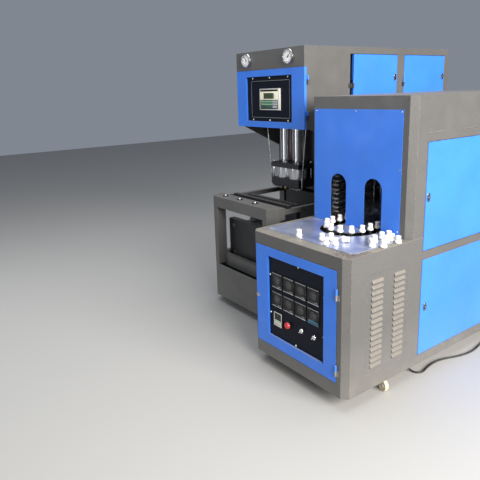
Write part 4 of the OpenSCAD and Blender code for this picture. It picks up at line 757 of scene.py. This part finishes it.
def voltmeter():
    """The voltmeter: its pale frame, its dark display and the two rows of keys below."""
    piece = Piece("voltmeter_frame", HEATER, "heater_door", "cream_plastic", pale_bezel, display_dark,
                  key_green, red_plastic, print_grey, cream_bezel)
    piece.plates(METER_AT, (4, 7), 0, 0.8, [(-1, 67, -1, 4), (-1, 67, 79, 85), (-1, 3, 4, 79),
                                            (63, 67, 4, 79)])
    piece.plates(METER_AT, (5.6, 7), 5, 0.5, [(3.5, 62.5, 4.5, 36)])
    piece.plates(METER_AT, (6.6, 8), 1, 0.3, [(4, 62, 37, 78)])
    piece.plates(METER_AT, (4.6, 6.2), 2, 0.5, [(8 + key * 10.4, 15.5 + key * 10.4, 26, 32)
                                                for key in range(5)])
    for key in range(4):
        piece.plates(METER_AT, (4.6, 6.2), 3 if key > 1 else 4, 0.5,
                     [(9 + key * 12.6, 17 + key * 12.6, 11, 17)])
    piece.done()


def operating_collars():
    """Collars round the stop button and the two selectors; the pressed button clears its own."""
    piece = Piece("operating_collars", HEATER, "heater_door", "black_plastic", module_black,
                  plated_steel)
    x, z = STOP_AT
    piece.collar((x, PANEL_Y, z), "-y", 17, 1.2, 16, 2, 8.6)
    piece.ring((x, PANEL_Y - 1.8, z), "-y", 26, 1.0, 1)
    for x, z in LEVER_AT:
        piece.collar((x, PANEL_Y, z), "-y", 20, 1.5, 18, 3.5, 14.6)
    piece.done()


def selector_lever(name, x, z):
    """A lever selector: its stem, domed knob and the rounded lever, leaning to the right."""
    piece = Piece(name + "_lever", HEATER, name, "chrome", chrome)
    piece.rod((x, 2, z), "y", 12, 32)
    piece.lathe((x, 12.5, z), "-y", [(13.8, 0), (13.8, 6), (13.2, 8.6), (11.4, 10.6), (8, 11.8),
                                     (0, 12.4)])
    mid_x, mid_z = round_from(x, z, 7, LEVER_LEAN)
    piece.block(about(mid_x, 3.6), (-7.4, 2.6), about(mid_z, 18), 0, 3.0, LEVER_LEAN)
    tip_x, tip_z = round_from(x, z, 27.6, LEVER_LEAN)
    piece.lathe((tip_x, 2.8, tip_z), "-y", [(0, 0), (3, 0.5), (4.8, 2.6), (4.9, 8), (3.8, 10.4),
                                            (1.8, 11.4), (0, 11.6)], 0, 32)
    piece.done(name)


def front_door_lock():
    """The lock of the heater's front door: a barrel in a collar, with its key slot."""
    piece = Piece("front_door_lock", HEATER, "heater_door", "chrome", plated_steel, brass, dial_black)
    x, z = 53, 452
    piece.lathe((x, -1, z), "-y", [(13.4, 0), (13.4, 2.6), (12, 3.8), (9.2, 3.8), (9, 8.2), (8, 9.2),
                                   (0, 9.2)])
    piece.lathe((x, -10, z), "-y", [(5.4, 0), (5.4, 1), (4.6, 1.6), (0, 1.6)], 1, 28)
    piece.block(about(x, 0.9), (-11.9, -11), about(z, 4.4), 2, 0.2)
    piece.done()


def side_lock(name, unit, body, x, y, z):
    """An oval quarter-turn lock on a side door, its key slot across the middle."""
    piece = Piece(name, unit, body, "chrome", lock_steel, dial_black)
    for end in about(z, 12):
        piece.lathe((x, y, end), "x", [(12.5, 0), (12.5, 2.6), (11.2, 3.6), (0, 3.6)])
    piece.block((x - 0.2, x + 3.6), about(y, 12.5), about(z, 12), 0, 0.8)
    piece.lathe((x + 3, y, z), "x", [(8.5, 0), (8.5, 4.4), (7.6, 5.4), (0, 5.4)])
    piece.block((x + 7.8, x + 9), about(y, 0.9), about(z, 5.5), 1, 0.2)
    piece.done()


BANK_SPAN = 750
LAMP_X = 152
LAMP_Z = [908 + 56 * i for i in range(7)]
LAMP_ENDS = (542, 1755)


def lamp_bank(name, side, *replaced):
    """One bank of quartz lamps: folded reflector, uprights, ceramic holders and wired lamps."""
    piece = Piece(name, HEATER, "machine", "bright_steel", reflector, ceramic, quartz, oiled_steel,
                  black_rubber)

    def across(a, b):
        return (a, b) if side > 0 else (BANK_SPAN - b, BANK_SPAN - a)

    piece.block(across(116, 118), (532, 1784), (860, 1320), 0, 0.3)
    for z in (862, 1318):
        piece.block(across(116, 130), (532, 1784), about(z, 2), 0, 0.5)
    for y in LAMP_ENDS:
        piece.block(across(117, 132), (y, y + 20), (846, 1320), 0, 0.6)
    x = across(LAMP_X, LAMP_X)[0]
    for z in LAMP_Z:
        for y in LAMP_ENDS:
            piece.block(across(134, 162), (y + 3, y + 17), about(z, 10), 3, 1.0)
            for low in (z - 15, z + 9):
                piece.block(across(131, 168), (y, y + 20), (low, low + 6), 1, 1.5)
        piece.rod((x, 548, z), "y", 11, 1221, 2, bevel=0)
        piece.rod((x, 560, z), "y", 2.2, 1196, 3, bevel=0, sides=10)
        for y, axis, end in ((556, "-y", 519), (1761, "y", 1798)):
            piece.lathe((x, y, z), axis, [(6.6, 0), (6.6, 32), (5.2, 36), (3.4, 37), (0, 37)], 0, 24)
            piece.rod((x, end, z), axis, 5, 4, 4, bevel=0.6, sides=16)
    piece.done(*replaced)


def oven_partition():
    """The polished partition between the two lanes of the oven, with its folds and its two posts."""
    piece = Piece("oven_partition", HEATER, "machine", "bright_steel", reflector, plated_steel)
    height = (849, 1361)
    piece.block((374, 376), (562, 1664), height, 0, 0.3)
    for y in (640, 700):
        piece.block((376, 379), (y, y + 5), height, 1, 0.6)
    for y, face, axis in ((550, 550, "-y"), (1664, 1676, "y")):
        piece.block((367, 383), (y, y + 12), height, 0, 1.0)
        for z in (900, 1100, 1300):
            piece.screw((375, face, z), axis, 8, 1)
    piece.done()


def oven_seams():
    """The seam of the oven's right side: a lap of two sheets, with its rivets."""
    piece = Piece("oven_side_seam", HEATER, "machine", "grey_paint", grey_enamel)
    piece.block((759.8, 761), (604, 1810), (1409, 1414), 0, 0.3)
    for y in (620, 820, 1020, 1220, 1420, 1620, 1794):
        piece.screw((760, y, 1428), "x", 7)
    piece.done()


def gland_nut():
    """The cord gland's nut."""
    piece = Piece("gland_nut", HEATER, "machine", "black_plastic", module_black)
    piece.nut((540, 600, 54), "x", 34, 12, 0, 1.0)
    piece.done()


# Blowing unit fittings
MID = 382.5
GAUGE_X = (142, 617)
GAUGE_Z = 1870
UNIT_AT = (275, 1511)
BUTTON_X = (135, 321, 506)
SEAL_Y = 524
HOSE_AT = [(x, 578, 1105) for x in about(MID, 36)]


def gauges():
    """Rims, dials, scales and glasses of the two pressure gauges."""
    rims = Piece("gauge_rims", BLOWER, "machine", "chrome", plated_steel)
    dials = Piece("gauge_dials", BLOWER, "machine", "white_plastic", dial_white, dial_black)
    glasses = Piece("gauge_glasses", BLOWER, "machine", None, dial_glass)
    for x in GAUGE_X:
        rims.lathe((x, 300, GAUGE_Z), "-y", [(50.4, 0.4), (50.4, 19), (49.5, 21.4), (47, 22.6),
                                             (44.6, 21.6), (43.6, 19.4), (43.6, 12.2)], 0, 72)
        rims.lathe((x, 280, GAUGE_Z - 34), "-y", [(4.2, 0), (4.2, 3), (3.4, 4), (0, 4)], 0, 20)
        dials.lathe((x, 288, GAUGE_Z), "-y", [(43.5, 0), (43.5, 0.5), (2.2, 0.5)], 0, 64)
        for step in range(31):
            turn = -135 + step * 9
            middle, wide, tall = (36.25, 0.4, 1.75) if step % 5 else (34.5, 0.8, 3.5)
            tick_x, tick_z = round_from(x, GAUGE_Z, middle, turn)
            dials.block(about(tick_x, wide), (287.15, 287.45), about(tick_z, tall), 1, 0, turn)
        dials.ring((x, 287.4, GAUGE_Z), "-y", 77, 0.7, 1)
        glasses.lathe((x, 281.6, GAUGE_Z), "-y", [(0, 0), (43.4, 0), (43.4, 1.4), (0, 1.4)], 0, 64)
    for piece in (rims, dials, glasses):
        piece.done()


def head_panel_trim():
    """The head panel's pale border line and its six screws."""
    lines = Piece("head_panel_border", BLOWER, "head_door", "white_plastic", print_white)
    lines.plates((MID - 218, 1454), (313.6, 314.2), 0, 0.1,
                 [(0, 436, 0, 2), (0, 436, 263, 265), (0, 2, 0, 265), (434, 436, 0, 265)])
    lines.done()
    front_screws("head_panel_screws", BLOWER, "head_door", white_zinc, 314, 11,
                 [(x, z) for x in (MID - 200, MID, MID + 200) for z in (1437, 1739)])


def control_unit():
    """Frame, display and keys of the control unit in the head door."""
    piece = Piece("control_unit_face", BLOWER, "head_door", "cream_plastic", cream_bezel,
                  display_green, key_green, key_grey, key_dark, panel_black, display_rim_painted_glow,
                  pale_bezel, display_digits, key_mark, print_grey)
    piece.plates(UNIT_AT, (304.8, 308.5), 7, 1.2, [(-1, 210, 143, 152), (-1, 210, -1, 6), (-1, 5, 6, 143)])
    piece.plates(UNIT_AT, (304.6, 308.5), 0, 1.2, [(207, 231, -1, 152)])
    piece.plates(UNIT_AT, (306.4, 307.1), 5, 0.2, [(5, 207, 131, 143), (5, 207, 6, 10), (5, 12, 10, 72),
                                                   (200, 207, 10, 72)])
    piece.plates(UNIT_AT, (308.2, 308.9), 4, 0.2, [(12, 200, 10, 72)])
    # The cream frame round the display, which glows as painted light.
    piece.plates(UNIT_AT, (305.2, 307), 6, 0.4, [(5, 207, 120, 131), (5, 207, 73, 79), (5, 42, 79, 120),
                                                 (164, 207, 79, 120)])
    piece.plates(UNIT_AT, (304.9, 305.6), 10, 0.2, [(26, 33, low, low + 5) for low in (82, 92, 102, 112)])
    piece.plates(UNIT_AT, (306.2, 307.4), 1, 0.3, [(42, 164, 79, 120)])
    for low in (85, 102):
        piece.plates(UNIT_AT, (305.9, 306.5), 8, 0.2, [(50 + digit * 13.6, 58.4 + digit * 13.6, low, low + 11)
                                                       for digit in range(8)])
    piece.plates(UNIT_AT, (305.9, 308.5), 4, 0.3, [(15, 143, 12.8, 29.2)])
    for low in (14, 33, 52):
        for key in range(7):
            left, green = 16 + key * 26, key < 5
            if green and low == 14:
                continue
            piece.plates(UNIT_AT, (306, 308), 2 if green else 3, 0.7,
                         [(left - 0.4, left + 21.4, low - 0.4, low + 14.4)])
            if green:
                piece.plates(UNIT_AT, (305.6, 306.2), 9, 0.2, [(left + 3, left + 18, low + 4, low + 10)])
    piece.done()


def button_collars():
    """The dark collars round the push buttons on the front beam."""
    piece = Piece("button_collars", BLOWER, "machine", "black_plastic", module_black)
    for x in BUTTON_X:
        piece.collar((x, 62, 869), "z", 22, 4, 20, 6.5, 12.2)
    piece.done()


def clamp_fittings():
    """Nuts and washers on the tie bars, and the bolts of the clamp cylinder."""
    piece = Piece("tie_bar_nuts", BLOWER, "machine", "black_steel", oiled_steel, plated_steel)
    for x in about(MID, 235):
        for z in (410, 630):
            for y, start, axis in ((170, 174, "y"), (878, 874, "-y")):
                piece.lathe((x, y, z), axis, [(29, 0), (29, 4), (18.1, 4), (18.1, 0)], 1)
                piece.lathe((x, start, z), axis, [(26, 0), (26, 12), (24, 14), (18.1, 14), (18.1, 0)],
                            0, 6)
    for x in about(MID, 46):
        for y in (478, 570):
            for z in (354, 85):
                piece.cap_screw((x, y, z), "z", 16)
    piece.done()


def station_fittings():
    """Tie rods, nuts and rims of the twin sealing cylinder, and rims of the stretch cylinders."""
    rods = Piece("station_tie_rods", BLOWER, "machine", "chrome", chrome, plated_steel)
    for x in (MID - 143, MID, MID + 143):
        for y in (460, 588):
            rods.rod((x, y, 985), "z", 12, 84)
            rods.nut((x, y, 1105), "z", 20, 9, 1)
            rods.rod((x, y, 1114), "z", 12, 6)
            rods.nut((x, y, 916), "z", 20, 9, 1)
    for x in about(MID, 70):
        for z in (985, 1063):
            rods.lathe((x, SEAL_Y, z), "z", [(67.05, 0), (68.6, 0.6), (68.6, 5.4), (67.05, 6)], 0, 72)
        for z in (1105, 1487):
            rods.lathe((x, SEAL_Y, z), "z", [(29.05, 0), (33.5, 0), (34.5, 1), (34.5, 13), (33.5, 14),
                                             (29.05, 14)], 1, 56)
        for turn in (45, 135, 225, 315):
            rod_x, rod_y = round_from(x, SEAL_Y, 38, turn)
            rods.rod((rod_x, rod_y, 1105), "z", 7, 396, 1, bevel=0.5, sides=16)
    rods.done()


def air_fittings():
    """Nuts where the air tubes screw in, and the ferrules of the two hoses."""
    piece = Piece("air_fittings", BLOWER, "machine", "brass", brass, plated_steel)
    for low_x, high_x in ((205.5, 159.5), (559.5, 605.5)):
        piece.nut((low_x, 466, 986), "z", 24, 12, 1)
        piece.nut((high_x, 466, 1367), "z", 13, 9, 0, 0.6)
    for x, y, z in HOSE_AT:
        piece.lathe((x, y, z), "z", [(13, 0), (13, 8), (12.2, 9), (12.2, 18), (11, 19.5), (8.1, 19.5)],
                    0, 32)
        for groove in (11, 14):
            piece.ring((x, y, z + groove), "z", 24.6, 1.2, 1, 40)
    piece.done()


def hoses():
    """The two red hoses that rise from the cylinder into the head."""
    piece = Piece("red_hoses", BLOWER, "machine", "red_plastic", red_hose)
    for x, y, z in HOSE_AT:
        piece.lathe((x, y, z + 17), "z", [(8.3, 0), (8.3, 335)], 0, 28)
    piece.done()


def feet_nuts():
    """The lock nuts of the levelling feet."""
    piece = Piece("foot_lock_nuts", BLOWER, "machine", "bright_steel", plated_steel)
    for x in (110, 655):
        for y in (110, 960, 1810):
            piece.nut((x, y, 26), "z", 30, 10, 0, 1.0)
    piece.done()


def make_fittings():
    """All the small pieces, unit by unit."""
    front_screws("heater_panel_screws", HEATER, "heater_door", white_zinc, PANEL_Y, 11, PANEL_SCREWS)
    lamp_regulators()
    voltmeter()
    operating_collars()
    for name, (x, z) in zip(("selector_left", "selector_right"), LEVER_AT):
        selector_lever(name, x, z)
    front_door_lock()
    side_lock("upper_oven_door_lock", HEATER, "oven_door_upper", 761, 623, 1064)
    side_lock("lower_oven_door_lock", HEATER, "oven_door_lower", 761, 643, 426)
    front_screws("arch_panel_screws", HEATER, "machine", plated_steel, ARCH_Y, 8, ARCH_SCREWS)
    lamp_bank("lamps_left", 1, "lamp_banks")
    lamp_bank("lamps_right", -1)
    oven_partition()
    oven_seams()
    gland_nut()
    gauges()
    head_panel_trim()
    control_unit()
    button_collars()
    clamp_fittings()
    station_fittings()
    air_fittings()
    hoses()
    feet_nuts()
    side_lock("front_tall_door_lock", BLOWER, "tall_door_front", 766, 1233, 1718)
    side_lock("rear_tall_door_lock", BLOWER, "tall_door_rear", 766, 1843, 1718)


make_fittings()


# Stage
def make_floor():
    """A pale floor under the machine."""
    material, _, skin = new_material("pale_floor", roughness=0.7)
    skin["Base Color"].default_value = (0.38, 0.375, 0.36, 1.0)
    mesh = bpy.data.meshes.new("floor")
    sheet = bmesh.new()
    bmesh.ops.create_grid(sheet, x_segments=1, y_segments=1, size=14.0)
    sheet.to_mesh(mesh)
    sheet.free()
    mesh.materials.append(material)
    floor = bpy.data.objects.new("floor", mesh)
    bpy.context.scene.collection.objects.link(floor)


def make_light(name, at, aim, size, power, colour):
    """One soft box that looks at a point."""
    data = bpy.data.lights.new(name, "AREA")
    data.shape = "RECTANGLE"
    data.size, data.size_y = size
    data.energy = power
    data.color = colour
    lamp = bpy.data.objects.new(name, data)
    bpy.context.scene.collection.objects.link(lamp)
    lamp.location = at
    lamp.rotation_euler = (Vector(aim) - Vector(at)).to_track_quat("-Z", "Y").to_euler()


def set_the_tones():
    """Plain tones: strong blues stay as strong as a phone's camera shows them."""
    bpy.context.scene.view_settings.view_transform = "Standard"


def light_the_stage():
    """Large window light from the right, a weaker roof light, a narrow strip from the front
    left that draws lines along bright metal, and the pale room around."""
    make_light("window_right", (5.8, -1.0, 3.0), (0.3, -0.1, 1.0), (5.0, 3.0), 990, (1.0, 0.96, 0.91))
    make_light("roof_light", (0.0, 0.0, 4.6), (0.0, 0.0, 0.8), (5.0, 5.0), 200, (0.97, 0.98, 1.0))
    make_light("front_strip", (-2.4, -4.3, 1.7), (-0.5, -0.3, 1.0), (1.1, 2.6), 36,
               (0.90, 0.95, 1.0))
    world = bpy.data.worlds.new("soft_room")
    world.use_nodes = True
    backdrop = world.node_tree.nodes["Background"]
    backdrop.inputs["Color"].default_value = (0.73, 0.81, 0.95, 1.0)
    backdrop.inputs["Strength"].default_value = 0.30
    bpy.context.scene.world = world


make_floor()
set_the_tones()
light_the_stage()
